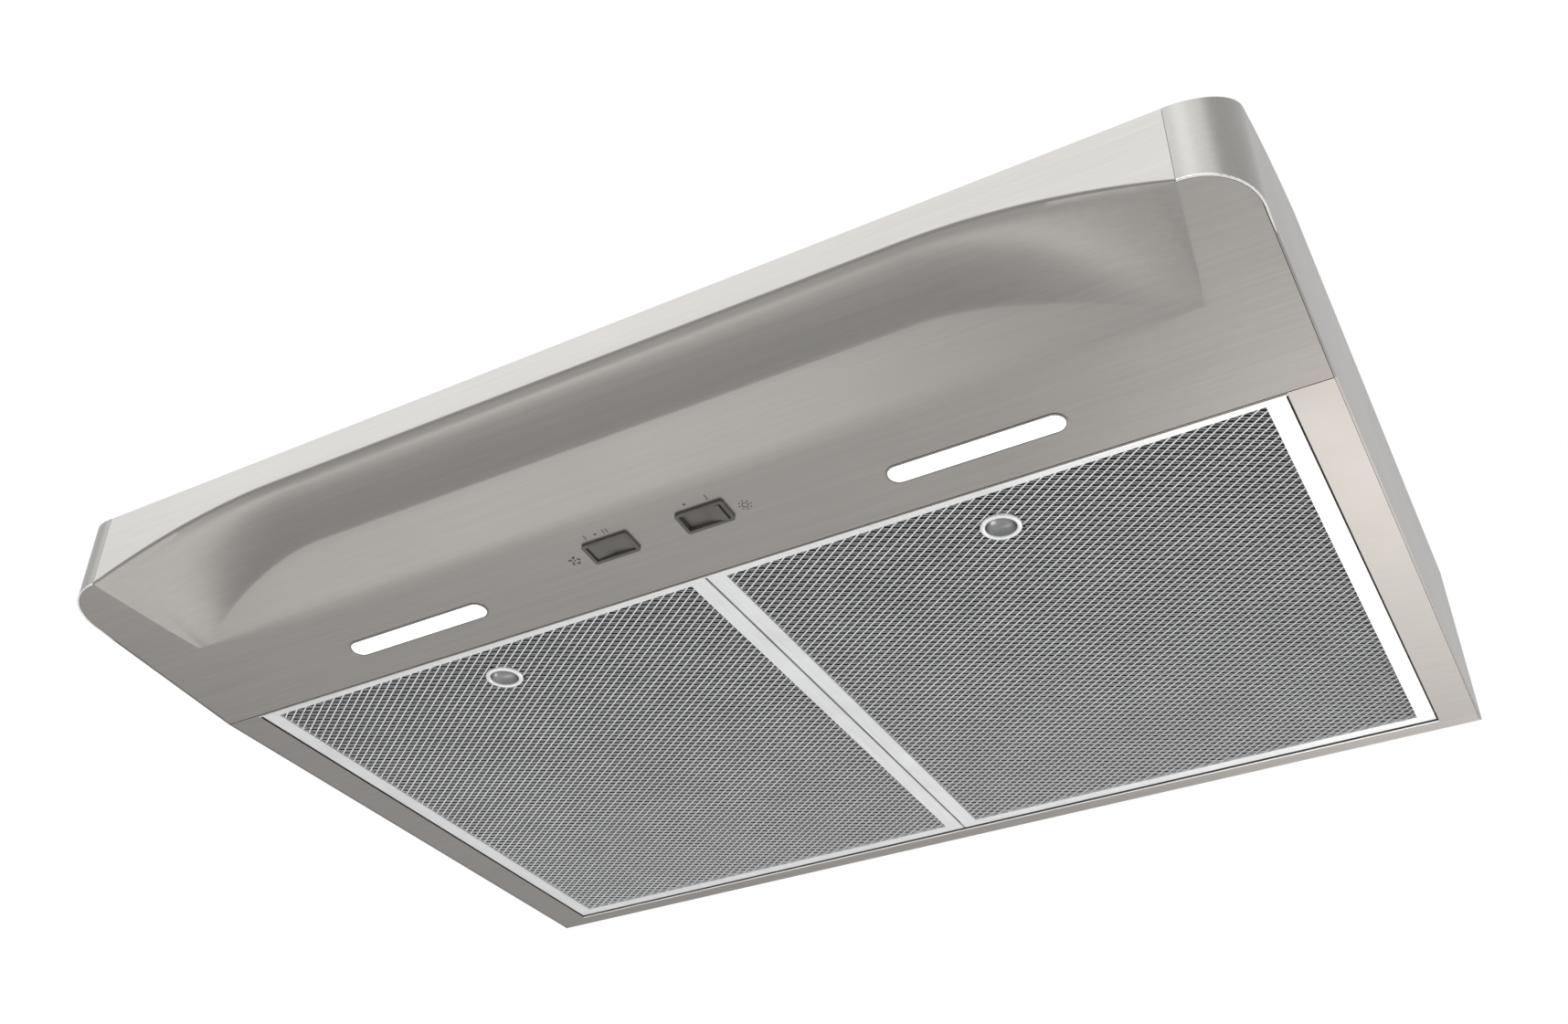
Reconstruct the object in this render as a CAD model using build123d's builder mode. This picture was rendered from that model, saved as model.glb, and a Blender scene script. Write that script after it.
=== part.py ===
from build123d import *

import math
import os

# Under cabinet range hood for a 30 inch opening.
# Millimetres. X runs across the hood, +Y goes back to the wall, +Z is up. The origin lies on the
# top face that meets the cabinet, on the centre line and 200 mm in front of the wall.

os.makedirs("parts", exist_ok=True)

# Overall sizes
WIDTH = 759.0
DEPTH = 565.0
HEIGHT = 122.0
REAR_Y = 200.0
SHEET = 1.2
GAP = 0.2
MARGIN = 5.0
HALF = WIDTH / 2
FRONT_Y = REAR_Y - DEPTH
BOTTOM_Z = -HEIGHT
INNER_HALF = HALF - SHEET - GAP

# Canopy profile: flat top, then a falling curve down to the front strip
BREAK_Y = -207.0
CURVE_MID = (-295.5, -26.0)
FRONT_TOP_Z = -58.5
CORNER_R = 33.0
SEAM_X = HALF - CORNER_R
CORNER_Y = FRONT_Y + CORNER_R
DIAG = math.sqrt(0.5)

# Control fascia: a panel that rises from the crease, a facet, and a scoop up to an arched edge
CREASE_Y = -208.0
PANEL_RISE = 13.6
PANEL_RUN = CREASE_Y - FRONT_Y
PANEL_ANGLE = math.atan2(PANEL_RISE, PANEL_RUN)
FACET_Y = -284.0
RIDGE_Y = -329.0
RIDGE_LIFT = 13.4
ARCH_LIFT = 27.4
ARCH_START = 205.0
RIDGE_START = 200.0
FACET_TIP = 324.0
STATIONS = (0, 120, 205, 228, 250, 270, 288, 302, 314, 324, 336)

# Filter opening and filters
OPENING_HALF = 353.5
OPENING_FRONT = -205.6
OPENING_REAR = 186.3
LIP_HEIGHT = 14.0
FILTER_IN = 0.8
FILTER_OUT = 352.2
FILTER_FRONT = -204.6
FILTER_REAR = 185.0
FILTER_Z = BOTTOM_Z + 0.6
FILTER_T = 9.0
SIDE_RAIL = 11.4
REAR_RAIL = 8.0
FRONT_RAIL = 4.0
MESH_T = 7.0
TILT_Y = FILTER_REAR - 6.0
TILT_Z = FILTER_Z + 3.8
TILT_PIN_R = 1.5
RUNNING = 0.06
CUP_X = 176.5
CUP_Y = -167.0
CUP_R = 11.7
CUP_BORE_R = 9.7

# Lamps and switches, measured on the sloping panel
LENS_X = 191.3
LENS_Y = 31.1
LENS_L = 104.0
LENS_W = 12.6
SWITCH_Y = 47.2
SWITCH_L = 32.0
SWITCH_W = 18.0
ROCKER_L = 25.2
ROCKER_W = 13.0
ROCKER_DEPTH = 4.0
ROCKER_TILT = 8.0
ROCKER_PIN_R = 1.0

# Blower
WHEEL_Y = -20.0
WHEEL_R = 90.0
BLADE_IN_R = 74.0
WHEEL_TOP = -20.0
WHEEL_H = 58.0
BLADES = 40
HOUSING_FLOOR = -84.0
HOUSING_TOP = -2.4
INLET_R = 72.0
MOTOR_R = 45.0
MOTOR_BASE = -85.0
MOTOR_H = 47.0
SHAFT_R = 4.0
MOUNT_PCD_R = 80.0

# Duct collar and damper
DUCT_X = 254.0
DUCT_Y = 83.0
DUCT_CENTRE_Y = 150.0
COLLAR_H = 28.0
COLLAR_WALL = 0.9
DAMPER_Z = 12.0
DAMPER_PIN_R = 1.2

# Wiring
WIRING_X = 235.0
WIRING_Y = 130.0
WIRING_SIZE = (110.0, 80.0, 45.0)
KNOCKOUT_R = 11.1
SCREW_SPACING_X = 600.0
SCREW_SPACING_Y = 220.0
SCREW_CENTRE_Y = -10.0
SCREW_HOLE_R = 3.5

panel_plane = Plane(
    origin=(0, CREASE_Y, BOTTOM_Z),
    x_dir=(1, 0, 0),
    z_dir=(0, -math.sin(PANEL_ANGLE), -math.cos(PANEL_ANGLE)),
)
side_plane = Plane.YZ.offset(-HALF - MARGIN)
floor_plane = Plane.XY.offset(BOTTOM_Z)


def save(piece, label):
    """Label a finished piece and write it to its own file."""
    piece.part.label = label
    export_step(piece.part, f"parts/{label}.step")


def panel_z(y):
    """Height of the sloping panel's face at a depth y."""
    return BOTTOM_Z + (CREASE_Y - y) * PANEL_RISE / PANEL_RUN


def canopy_z(y):
    """Height of the falling curve at a depth y, on the circle through its three driving points."""
    (ay, az), (by, bz), (cy, cz) = (BREAK_Y, 0.0), CURVE_MID, (FRONT_Y, FRONT_TOP_Z)
    d = 2 * (ay * (bz - cz) + by * (cz - az) + cy * (az - bz))
    a2, b2, c2 = ay**2 + az**2, by**2 + bz**2, cy**2 + cz**2
    centre_y = (a2 * (bz - cz) + b2 * (cz - az) + c2 * (az - bz)) / d
    centre_z = (a2 * (cy - by) + b2 * (ay - cy) + c2 * (by - ay)) / d
    radius = math.hypot(ay - centre_y, az - centre_z)
    return centre_z + math.sqrt(radius**2 - (y - centre_y) ** 2)


def plan_sketch(half, front_y, radius):
    """Draw the hood's plan: a rectangle with two rounded front corners."""
    with Locations((0, (REAR_Y + front_y) / 2)):
        Rectangle(2 * half, REAR_Y - front_y)
    corners = vertices().group_by(Axis.Y)[0]
    fillet(corners, radius)


def fascia_section(x):
    """Outer line of the fascia at a distance x from the centre, from the crease to the top."""
    arch = min(1.0, max(0.0, (x - ARCH_START) / (SEAM_X - ARCH_START))) ** 2
    fade = min(1.0, max(0.0, (x - RIDGE_START) / (FACET_TIP - RIDGE_START))) ** 1.7
    low_z = panel_z(FRONT_Y) + ARCH_LIFT * (1 - arch)
    ridge_y = RIDGE_Y + (FACET_Y - RIDGE_Y - 0.6) * fade
    ridge_z = panel_z(FACET_Y) + RIDGE_LIFT * (1 - fade) + 0.1
    run = FRONT_Y - ridge_y
    rise = low_z - ridge_z
    return [
        (CREASE_Y - GAP, panel_z(CREASE_Y - GAP)),
        (FACET_Y, panel_z(FACET_Y)),
        (ridge_y, ridge_z),
        (ridge_y + 0.3 * run, ridge_z + 0.5 * rise),
        (ridge_y + 0.62 * run, ridge_z + 0.83 * rise),
        (FRONT_Y, low_z),
        (FRONT_Y, FRONT_TOP_Z - GAP),
    ]


def band(points, thickness):
    """Close an open line into a strip of even thickness on its inner side."""
    normals = []
    for (ay, az), (by, bz) in zip(points, points[1:]):
        length = math.hypot(by - ay, bz - az)
        normals.append(((bz - az) / length, -(by - ay) / length))
    inner = []
    for i, (y, z) in enumerate(points):
        ny, nz = normals[max(0, i - 1)]
        my, mz = normals[min(i, len(normals) - 1)]
        scale = thickness / (1 + ny * my + nz * mz)
        inner.append((y + (ny + my) * scale, z + (nz + mz) * scale))
    return points + inner[::-1]


# Side panels, each wrapped round its front corner to the seam beside the fascia
for side, side_name in ((-1, "left"), (1, "right")):
    with BuildPart() as side_panel:
        with BuildSketch(floor_plane.offset(-MARGIN)):
            with BuildLine():
                outer_r = CORNER_R
                inner_r = CORNER_R - SHEET
                Line((side * HALF, REAR_Y), (side * HALF, CORNER_Y))
                ThreePointArc(
                    (side * HALF, CORNER_Y),
                    (side * (SEAM_X + outer_r * DIAG), CORNER_Y - outer_r * DIAG),
                    (side * SEAM_X, FRONT_Y),
                )
                Line((side * SEAM_X, FRONT_Y), (side * SEAM_X, FRONT_Y + SHEET))
                ThreePointArc(
                    (side * SEAM_X, FRONT_Y + SHEET),
                    (side * (SEAM_X + inner_r * DIAG), CORNER_Y - inner_r * DIAG),
                    (side * (HALF - SHEET), CORNER_Y),
                )
                Line((side * (HALF - SHEET), CORNER_Y), (side * (HALF - SHEET), REAR_Y))
                Line((side * (HALF - SHEET), REAR_Y), (side * HALF, REAR_Y))
            make_face()
        extrude(amount=HEIGHT + 2 * MARGIN)
        with BuildSketch(side_plane):
            with BuildLine():
                past_front = FRONT_Y - MARGIN
                Polyline(
                    (BREAK_Y, 0), (REAR_Y + MARGIN, 0), (REAR_Y + MARGIN, BOTTOM_Z),
                    (CREASE_Y, BOTTOM_Z), (past_front, panel_z(past_front)),
                    (past_front, canopy_z(past_front)),
                )
                ThreePointArc((past_front, canopy_z(past_front)), CURVE_MID, (BREAK_Y, 0))
            make_face()
        extrude(amount=WIDTH + 2 * MARGIN, mode=Mode.INTERSECT)
    save(side_panel, f"side_panel_{side_name}")

# Canopy: one sheet over the top and down the falling front
with BuildPart() as canopy:
    with BuildSketch(Plane.YZ.offset(-INNER_HALF)):
        with BuildLine():
            Line((REAR_Y, 0), (BREAK_Y, 0))
            ThreePointArc((BREAK_Y, 0), CURVE_MID, (FRONT_Y, FRONT_TOP_Z))
            Line((FRONT_Y, FRONT_TOP_Z), (FRONT_Y, FRONT_TOP_Z - 1.4 * SHEET))
            ThreePointArc(
                (FRONT_Y, FRONT_TOP_Z - 1.4 * SHEET),
                (CURVE_MID[0], CURVE_MID[1] - 1.05 * SHEET),
                (BREAK_Y, -SHEET),
            )
            Line((BREAK_Y, -SHEET), (REAR_Y, -SHEET))
            Line((REAR_Y, -SHEET), (REAR_Y, 0))
        make_face()
    extrude(amount=2 * INNER_HALF)
    with BuildSketch(floor_plane):
        plan_sketch(INNER_HALF, FRONT_Y + SHEET + GAP, CORNER_R - SHEET - GAP)
    extrude(amount=HEIGHT, mode=Mode.INTERSECT)
    with BuildSketch(Plane.XY):
        with Locations((0, DUCT_CENTRE_Y)):
            Rectangle(DUCT_X + 2 * GAP, DUCT_Y + 2 * GAP)
        with Locations((WIRING_X, WIRING_Y)):
            Circle(KNOCKOUT_R)
        with Locations((0, SCREW_CENTRE_Y)):
            with GridLocations(SCREW_SPACING_X, SCREW_SPACING_Y, 2, 2):
                Circle(SCREW_HOLE_R)
    extrude(amount=2 * SHEET, both=True, mode=Mode.SUBTRACT)
save(canopy, "canopy")

with BuildPart() as back_panel:
    with BuildSketch(Plane.XZ.offset(-REAR_Y)):
        with Locations((0, BOTTOM_Z / 2)):
            Rectangle(2 * INNER_HALF, HEIGHT - 2 * SHEET - 2 * GAP)
    extrude(amount=SHEET)
save(back_panel, "back_panel")

# Control fascia: sculpted middle between the seams, plain wings under the rounded corners
with BuildPart() as fascia_wing:
    with BuildSketch(Plane.YZ.offset(SEAM_X - GAP)):
        with BuildLine():
            wing_line = [
                (CREASE_Y - GAP, panel_z(CREASE_Y - GAP)),
                (FRONT_Y, panel_z(FRONT_Y)),
            ]
            Polyline(*band(wing_line, SHEET), close=True)
        make_face()
    extrude(amount=INNER_HALF - SEAM_X + GAP)
    with BuildSketch(floor_plane):
        plan_sketch(INNER_HALF, FRONT_Y + SHEET + GAP, CORNER_R - SHEET - GAP)
    extrude(amount=HEIGHT, mode=Mode.INTERSECT)

half_sections = [(x, fascia_section(x)) for x in STATIONS + (SEAM_X - GAP,)]
with BuildPart() as fascia:
    for side in (-1, 1):
        for near, far in zip(half_sections, half_sections[1:]):
            for x, line in (near, far):
                with BuildSketch(Plane.YZ.offset(side * x)):
                    with BuildLine():
                        Polyline(*band(line, SHEET), close=True)
                    make_face()
            loft(ruled=True)
    add(fascia_wing.part)
    mirror(fascia_wing.part, about=Plane.YZ)
    with BuildSketch(panel_plane):
        with Locations((-LENS_X, LENS_Y), (LENS_X, LENS_Y)):
            SlotOverall(LENS_L + 2 * GAP, LENS_W + 2 * GAP)
        with Locations((-35.0, SWITCH_Y), (29.5, SWITCH_Y)):
            Rectangle(SWITCH_L - 2.6, SWITCH_W - 2.6)
    extrude(amount=4 * SHEET, both=True, mode=Mode.SUBTRACT)
save(fascia, "control_fascia")

# Bottom pan: flat border with an upright lip round the filter opening
opening_y = (OPENING_FRONT + OPENING_REAR) / 2
opening_d = OPENING_REAR - OPENING_FRONT
pan_front = CREASE_Y + 2 * GAP
with BuildPart() as bottom_pan:
    with BuildSketch(floor_plane):
        with Locations((0, (REAR_Y + pan_front) / 2)):
            Rectangle(2 * INNER_HALF, REAR_Y - pan_front)
        with Locations((0, opening_y)):
            Rectangle(2 * OPENING_HALF, opening_d, mode=Mode.SUBTRACT)
    extrude(amount=SHEET)
    with BuildSketch(floor_plane):
        with Locations((0, opening_y)):
            Rectangle(2 * (OPENING_HALF + SHEET), opening_d + 2 * SHEET)
            Rectangle(2 * OPENING_HALF, opening_d, mode=Mode.SUBTRACT)
    extrude(amount=LIP_HEIGHT)
    with BuildSketch(Plane.YZ):
        with Locations((TILT_Y, TILT_Z)):
            Circle(TILT_PIN_R)
    extrude(amount=HALF, both=True, mode=Mode.SUBTRACT)
save(bottom_pan, "bottom_pan")

# Filter hardware: a centre hanger, three pivot pins and two front catches
with BuildPart() as filter_hanger:
    with BuildSketch(Plane.YZ.offset(-0.4)):
        with Locations(((TILT_Y - 3.0 + OPENING_REAR) / 2, BOTTOM_Z + 1.0 + 6.0)):
            Rectangle(OPENING_REAR - TILT_Y + 3.0, 12.0)
        with Locations((TILT_Y, TILT_Z)):
            Circle(TILT_PIN_R, mode=Mode.SUBTRACT)
    extrude(amount=0.8)
save(filter_hanger, "filter_hanger")

with BuildPart() as pivot_pins:
    with BuildSketch(Plane.YZ):
        with Locations((TILT_Y, TILT_Z)):
            Circle(TILT_PIN_R)
    extrude(amount=7.0, both=True)
    for side in (-1, 1):
        with BuildSketch(Plane.YZ.offset(side * 346.5)):
            with Locations((TILT_Y, TILT_Z)):
                Circle(TILT_PIN_R)
        extrude(amount=side * 9.0)
save(pivot_pins, "filter_pivot_pins")

with BuildPart() as filter_catches:
    for side in (-1, 1):
        with BuildSketch(Plane.YZ.offset(side * CUP_X - 20.0)):
            with BuildLine():
                Polyline(
                    (OPENING_FRONT - SHEET, BOTTOM_Z + LIP_HEIGHT),
                    (OPENING_FRONT + 8.0, BOTTOM_Z + LIP_HEIGHT),
                    (OPENING_FRONT + 8.0, BOTTOM_Z + LIP_HEIGHT + 0.6),
                    (OPENING_FRONT - SHEET - 0.6, BOTTOM_Z + LIP_HEIGHT + 0.6),
                    (OPENING_FRONT - SHEET - 0.6, BOTTOM_Z + 3.0),
                    (OPENING_FRONT - SHEET, BOTTOM_Z + 3.0),
                    close=True,
                )
            make_face()
        extrude(amount=40.0)
save(filter_catches, "filter_catches")

# Filters: rails, expanded mesh pad and finger cup
filter_y = (FILTER_FRONT + FILTER_REAR) / 2
filter_d = FILTER_REAR - FILTER_FRONT
window_y = (FILTER_FRONT + FRONT_RAIL + FILTER_REAR - REAR_RAIL) / 2
window_d = filter_d - FRONT_RAIL - REAR_RAIL
filter_w = FILTER_OUT - FILTER_IN
for side, side_name in ((-1, "left"), (1, "right")):
    centre_x = side * (FILTER_IN + FILTER_OUT) / 2
    with BuildPart() as filter_frame:
        with BuildSketch(Plane.XY.offset(FILTER_Z)):
            with Locations((centre_x, filter_y)):
                Rectangle(filter_w, filter_d)
            with Locations((centre_x, window_y)):
                Rectangle(filter_w - 2 * SIDE_RAIL, window_d, mode=Mode.SUBTRACT)
        extrude(amount=FILTER_T)
        for bore_x in (FILTER_IN, FILTER_OUT - 7.5):
            with BuildSketch(Plane.YZ.offset(side * bore_x)):
                with Locations((TILT_Y, TILT_Z)):
                    Circle(TILT_PIN_R + RUNNING)
            extrude(amount=side * 7.5, mode=Mode.SUBTRACT)
    save(filter_frame, f"filter_frame_{side_name}")

    with BuildPart() as filter_mesh:
        with BuildSketch(Plane.XY.offset(FILTER_Z + 0.8)):
            with Locations((centre_x, window_y)):
                Rectangle(filter_w - 2 * SIDE_RAIL, window_d)
            with Locations((side * CUP_X, CUP_Y)):
                Circle(CUP_R, mode=Mode.SUBTRACT)
        extrude(amount=MESH_T)
    save(filter_mesh, f"filter_mesh_{side_name}")

    with BuildPart() as finger_cup:
        with BuildSketch(Plane.XZ.offset(-CUP_Y)):
            with BuildLine():
                Polyline(
                    (0, FILTER_Z + 6.6), (7.0, FILTER_Z + 6.6), (CUP_BORE_R - 0.6, FILTER_Z + 4.4),
                    (CUP_BORE_R, FILTER_Z), (CUP_R, FILTER_Z), (CUP_R, FILTER_Z + 7.8),
                    (0, FILTER_Z + 7.8), close=True,
                )
            make_face()
        revolve(axis=Axis((0, CUP_Y, 0), (0, 0, 1)))
    cup_at = Pos(side * CUP_X, 0, 0) * finger_cup.part
    cup_at.label = f"filter_cup_{side_name}"
    export_step(cup_at, f"parts/{cup_at.label}.step")

# Lamps: diffuser in the fascia slot, housing and light board behind it
for side, side_name in ((-1, "left"), (1, "right")):
    lens_at = (side * LENS_X, LENS_Y)
    with BuildPart() as lamp_lens:
        with BuildSketch(panel_plane.offset(0.4)):
            with Locations(lens_at):
                SlotOverall(LENS_L, LENS_W)
        extrude(amount=-3.4)
        with BuildSketch(panel_plane.offset(-SHEET - 0.1)):
            with Locations(lens_at):
                SlotOverall(LENS_L + 7.0, LENS_W + 7.0)
        extrude(amount=-1.7)
    save(lamp_lens, f"lamp_lens_{side_name}")

    with BuildPart() as lamp_housing:
        with BuildSketch(panel_plane.offset(-3.0)):
            with Locations(lens_at):
                Rectangle(118.0, 24.0)
        extrude(amount=-14.0)
        with BuildSketch(panel_plane.offset(-3.0)):
            with Locations(lens_at):
                Rectangle(114.0, 20.0)
        extrude(amount=-12.5, mode=Mode.SUBTRACT)
    save(lamp_housing, f"lamp_housing_{side_name}")

    with BuildPart() as lamp_board:
        with BuildSketch(panel_plane.offset(-13.9)):
            with Locations(lens_at):
                Rectangle(100.0, 12.0)
        extrude(amount=-1.6)
        with BuildSketch(panel_plane.offset(-13.9)):
            with Locations(lens_at):
                with GridLocations(14.0, 1.0, 7, 1):
                    Rectangle(3.5, 3.0)
        extrude(amount=0.8)
    save(lamp_board, f"lamp_board_{side_name}")

# Rocker switches: bezel and box, rocker, and the pin it turns on
pin_line = (panel_plane.y_dir.X, panel_plane.y_dir.Y, panel_plane.y_dir.Z)
for switch_name, switch_x, rest_tilt in (("fan", -35.0, 0.0), ("light", 29.5, ROCKER_TILT)):
    with BuildPart() as switch_body:
        with BuildSketch(panel_plane):
            with Locations((switch_x, SWITCH_Y)):
                RectangleRounded(SWITCH_L, SWITCH_W, 2.0)
        extrude(amount=1.6)
        with BuildSketch(panel_plane):
            with Locations((switch_x, SWITCH_Y)):
                Rectangle(SWITCH_L - 3.0, SWITCH_W - 3.0)
        extrude(amount=-18.0)
        with BuildSketch(panel_plane.offset(1.6)):
            with Locations((switch_x, SWITCH_Y)):
                Rectangle(SWITCH_L - 4.4, SWITCH_W - 4.4)
        extrude(amount=-17.6, mode=Mode.SUBTRACT)
        pin_at = panel_plane.from_local_coords((switch_x, SWITCH_Y, -ROCKER_DEPTH))
        pin_plane = Plane(origin=pin_at, x_dir=(1, 0, 0), z_dir=pin_line)
        with BuildSketch(pin_plane):
            Circle(ROCKER_PIN_R)
        extrude(amount=SWITCH_W, both=True, mode=Mode.SUBTRACT)
    save(switch_body, f"{switch_name}_switch_body")

    with BuildPart() as rocker_pin:
        with BuildSketch(pin_plane):
            Circle(ROCKER_PIN_R)
        extrude(amount=(SWITCH_W - 3.0) / 2, both=True)
    save(rocker_pin, f"{switch_name}_rocker_pin")

    lean = math.radians(rest_tilt)
    inward = -panel_plane.z_dir * math.sin(lean)
    tilted = Plane(origin=pin_at, x_dir=Vector(math.cos(lean), 0, 0) + inward, z_dir=pin_line)
    half_l = ROCKER_L / 2
    with BuildPart() as rocker:
        with BuildSketch(tilted):
            with BuildLine():
                Polyline(
                    (-half_l, -5.2), (-half_l + 0.4, 2.0), (-4.0, 5.0), (4.0, 5.0),
                    (half_l - 0.4, 2.0), (half_l, -5.2), (half_l - 2.0, -5.2),
                    (0, -3.2), (-half_l + 2.0, -5.2), close=True,
                )
            make_face()
            Circle(ROCKER_PIN_R + 0.05, mode=Mode.SUBTRACT)
        extrude(amount=ROCKER_W / 2, both=True)
    save(rocker, f"{switch_name}_rocker")

# Blower housing: scroll wall and floor with a rolled inlet, open to the duct at the rear
with BuildPart() as blower_housing:
    with BuildSketch(Plane.XY.offset(HOUSING_FLOOR)):
        with Locations((-6.0, WHEEL_Y - 4.0)):
            Circle(118.0)
        with Locations((0, 132.0)):
            Rectangle(DUCT_X + 10.0, 130.0)
    extrude(amount=HOUSING_TOP - HOUSING_FLOOR)
    with BuildSketch(Plane.XY.offset(HOUSING_FLOOR + SHEET)):
        with Locations((-6.0, WHEEL_Y - 4.0)):
            Circle(118.0 - SHEET)
        with Locations((0, 132.0)):
            Rectangle(DUCT_X + 10.0 - 2 * SHEET, 130.0 - 2 * SHEET)
    extrude(amount=HEIGHT, mode=Mode.SUBTRACT)
    with BuildSketch(Plane.XY.offset(HOUSING_FLOOR)):
        with Locations((0, WHEEL_Y)):
            Circle(INLET_R)
            with PolarLocations(MOUNT_PCD_R, 3):
                Circle(2.0)
    extrude(amount=4 * SHEET, mode=Mode.SUBTRACT)
    with BuildSketch(Plane.XY.offset(HOUSING_FLOOR)):
        with Locations((0, WHEEL_Y)):
            Circle(INLET_R + SHEET)
            Circle(INLET_R, mode=Mode.SUBTRACT)
    extrude(amount=4.5)
save(blower_housing, "blower_housing")

with BuildPart() as blower_wheel:
    with BuildSketch(Plane.XY.offset(WHEEL_TOP - SHEET)):
        with Locations((0, WHEEL_Y)):
            Circle(WHEEL_R)
    extrude(amount=SHEET)
    with BuildSketch(Plane.XY.offset(WHEEL_TOP - 12.0)):
        with Locations((0, WHEEL_Y)):
            Circle(10.0)
    extrude(amount=18.0)
    with BuildSketch(Plane.XY.offset(WHEEL_TOP - WHEEL_H)):
        with Locations((0, WHEEL_Y)):
            Circle(WHEEL_R)
            Circle(WHEEL_R - 3.0, mode=Mode.SUBTRACT)
    extrude(amount=4.0)
    with BuildSketch(Plane.XY.offset(WHEEL_TOP - WHEEL_H)):
        with Locations((0, WHEEL_Y)):
            with PolarLocations((WHEEL_R + BLADE_IN_R) / 2 - 0.6, BLADES):
                Rectangle(WHEEL_R - BLADE_IN_R - 1.6, 0.8, rotation=30)
    extrude(amount=WHEEL_H - SHEET / 2)
    with BuildSketch(Plane.XY.offset(WHEEL_TOP + 10.0)):
        with Locations((0, WHEEL_Y)):
            Circle(SHAFT_R)
    extrude(amount=-WHEEL_H, mode=Mode.SUBTRACT)
save(blower_wheel, "blower_wheel")

with BuildPart() as motor_shaft:
    with BuildSketch(Plane.XY.offset(MOTOR_BASE - 6.0)):
        with Locations((0, WHEEL_Y)):
            Circle(SHAFT_R)
    extrude(amount=WHEEL_TOP + 4.0 - MOTOR_BASE + 6.0)
    fillet(edges().group_by(Axis.Z)[-1], 0.8)
save(motor_shaft, "motor_shaft")

with BuildPart() as motor:
    with BuildSketch(Plane.XY.offset(MOTOR_BASE)):
        with Locations((0, WHEEL_Y)):
            Circle(MOTOR_R)
    extrude(amount=MOTOR_H)
    fillet(edges().group_by(Axis.Z)[-1], 5.0)
    with BuildSketch(Plane.XY.offset(MOTOR_BASE)):
        with Locations((0, WHEEL_Y)):
            Circle(SHAFT_R + 0.05)
    extrude(amount=MOTOR_H, mode=Mode.SUBTRACT)
    with BuildSketch(Plane.XY.offset(MOTOR_BASE)):
        with Locations((0, WHEEL_Y)):
            with PolarLocations(24.0, 3, start_angle=60):
                Circle(1.6)
    extrude(amount=8.0, mode=Mode.SUBTRACT)
save(motor, "blower_motor")

with BuildPart() as motor_bracket:
    with BuildSketch(Plane.XY.offset(MOTOR_BASE - 1.6)):
        with Locations((0, WHEEL_Y)):
            Circle(32.0)
            with PolarLocations(MOUNT_PCD_R / 2, 3):
                Rectangle(MOUNT_PCD_R, 14.0)
            with PolarLocations(MOUNT_PCD_R, 3):
                Circle(9.0)
            Circle(6.0, mode=Mode.SUBTRACT)
            with PolarLocations(MOUNT_PCD_R, 3):
                Circle(2.0, mode=Mode.SUBTRACT)
            with PolarLocations(24.0, 3, start_angle=60):
                Circle(1.6, mode=Mode.SUBTRACT)
    extrude(amount=1.6)
save(motor_bracket, "motor_bracket")

with BuildPart() as motor_grommets:
    with BuildSketch(Plane.XY.offset(MOTOR_BASE)):
        with Locations((0, WHEEL_Y)):
            with PolarLocations(MOUNT_PCD_R, 3):
                Circle(6.0)
                Circle(2.0, mode=Mode.SUBTRACT)
    extrude(amount=HOUSING_FLOOR - MOTOR_BASE)
save(motor_grommets, "motor_grommets")

with BuildPart() as motor_screws:
    for ring_r, start, shank_r, top in ((MOUNT_PCD_R, 0, 2.0, 3.0), (24.0, 60, 1.6, 7.0)):
        with BuildSketch(Plane.XY.offset(MOTOR_BASE - 1.6)):
            with Locations((0, WHEEL_Y)):
                with PolarLocations(ring_r, 3, start_angle=start):
                    Circle(shank_r)
        extrude(amount=1.6 + top)
        with BuildSketch(Plane.XY.offset(MOTOR_BASE - 1.6)):
            with Locations((0, WHEEL_Y)):
                with PolarLocations(ring_r, 3, start_angle=start):
                    Circle(2 * shank_r)
        extrude(amount=-2.4)
save(motor_screws, "motor_screws")

# Duct collar with its back draught damper
with BuildPart() as duct_collar:
    with BuildSketch(Plane.XY.offset(-SHEET - 1.0)):
        with Locations((0, DUCT_CENTRE_Y)):
            Rectangle(DUCT_X + 14.0, DUCT_Y + 12.0)
            Rectangle(DUCT_X - 2 * COLLAR_WALL, DUCT_Y - 2 * COLLAR_WALL, mode=Mode.SUBTRACT)
    extrude(amount=1.0)
    with BuildSketch(Plane.XY.offset(-SHEET - 1.0)):
        with Locations((0, DUCT_CENTRE_Y)):
            Rectangle(DUCT_X, DUCT_Y)
            Rectangle(DUCT_X - 2 * COLLAR_WALL, DUCT_Y - 2 * COLLAR_WALL, mode=Mode.SUBTRACT)
    extrude(amount=COLLAR_H + SHEET + 1.0)
    with BuildSketch(Plane.YZ):
        with Locations((DUCT_CENTRE_Y - DUCT_Y / 2 + 5.0, DAMPER_Z)):
            Circle(DAMPER_PIN_R)
    extrude(amount=DUCT_X, both=True, mode=Mode.SUBTRACT)
save(duct_collar, "duct_collar")

damper_y = DUCT_CENTRE_Y - DUCT_Y / 2 + 5.0
with BuildPart() as damper_pin:
    with BuildSketch(Plane.YZ):
        with Locations((damper_y, DAMPER_Z)):
            Circle(DAMPER_PIN_R)
    extrude(amount=DUCT_X / 2, both=True)
save(damper_pin, "damper_pin")

with BuildPart() as damper_flap:
    with BuildSketch(Plane.YZ):
        with Locations((damper_y, DAMPER_Z)):
            Circle(2.4)
        with Locations((damper_y + 37.0, DAMPER_Z)):
            Rectangle(71.0, 0.9)
        with Locations((damper_y, DAMPER_Z)):
            Circle(DAMPER_PIN_R + 0.05, mode=Mode.SUBTRACT)
    extrude(amount=DUCT_X / 2 - 2.0, both=True)
save(damper_flap, "damper_flap")

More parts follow.
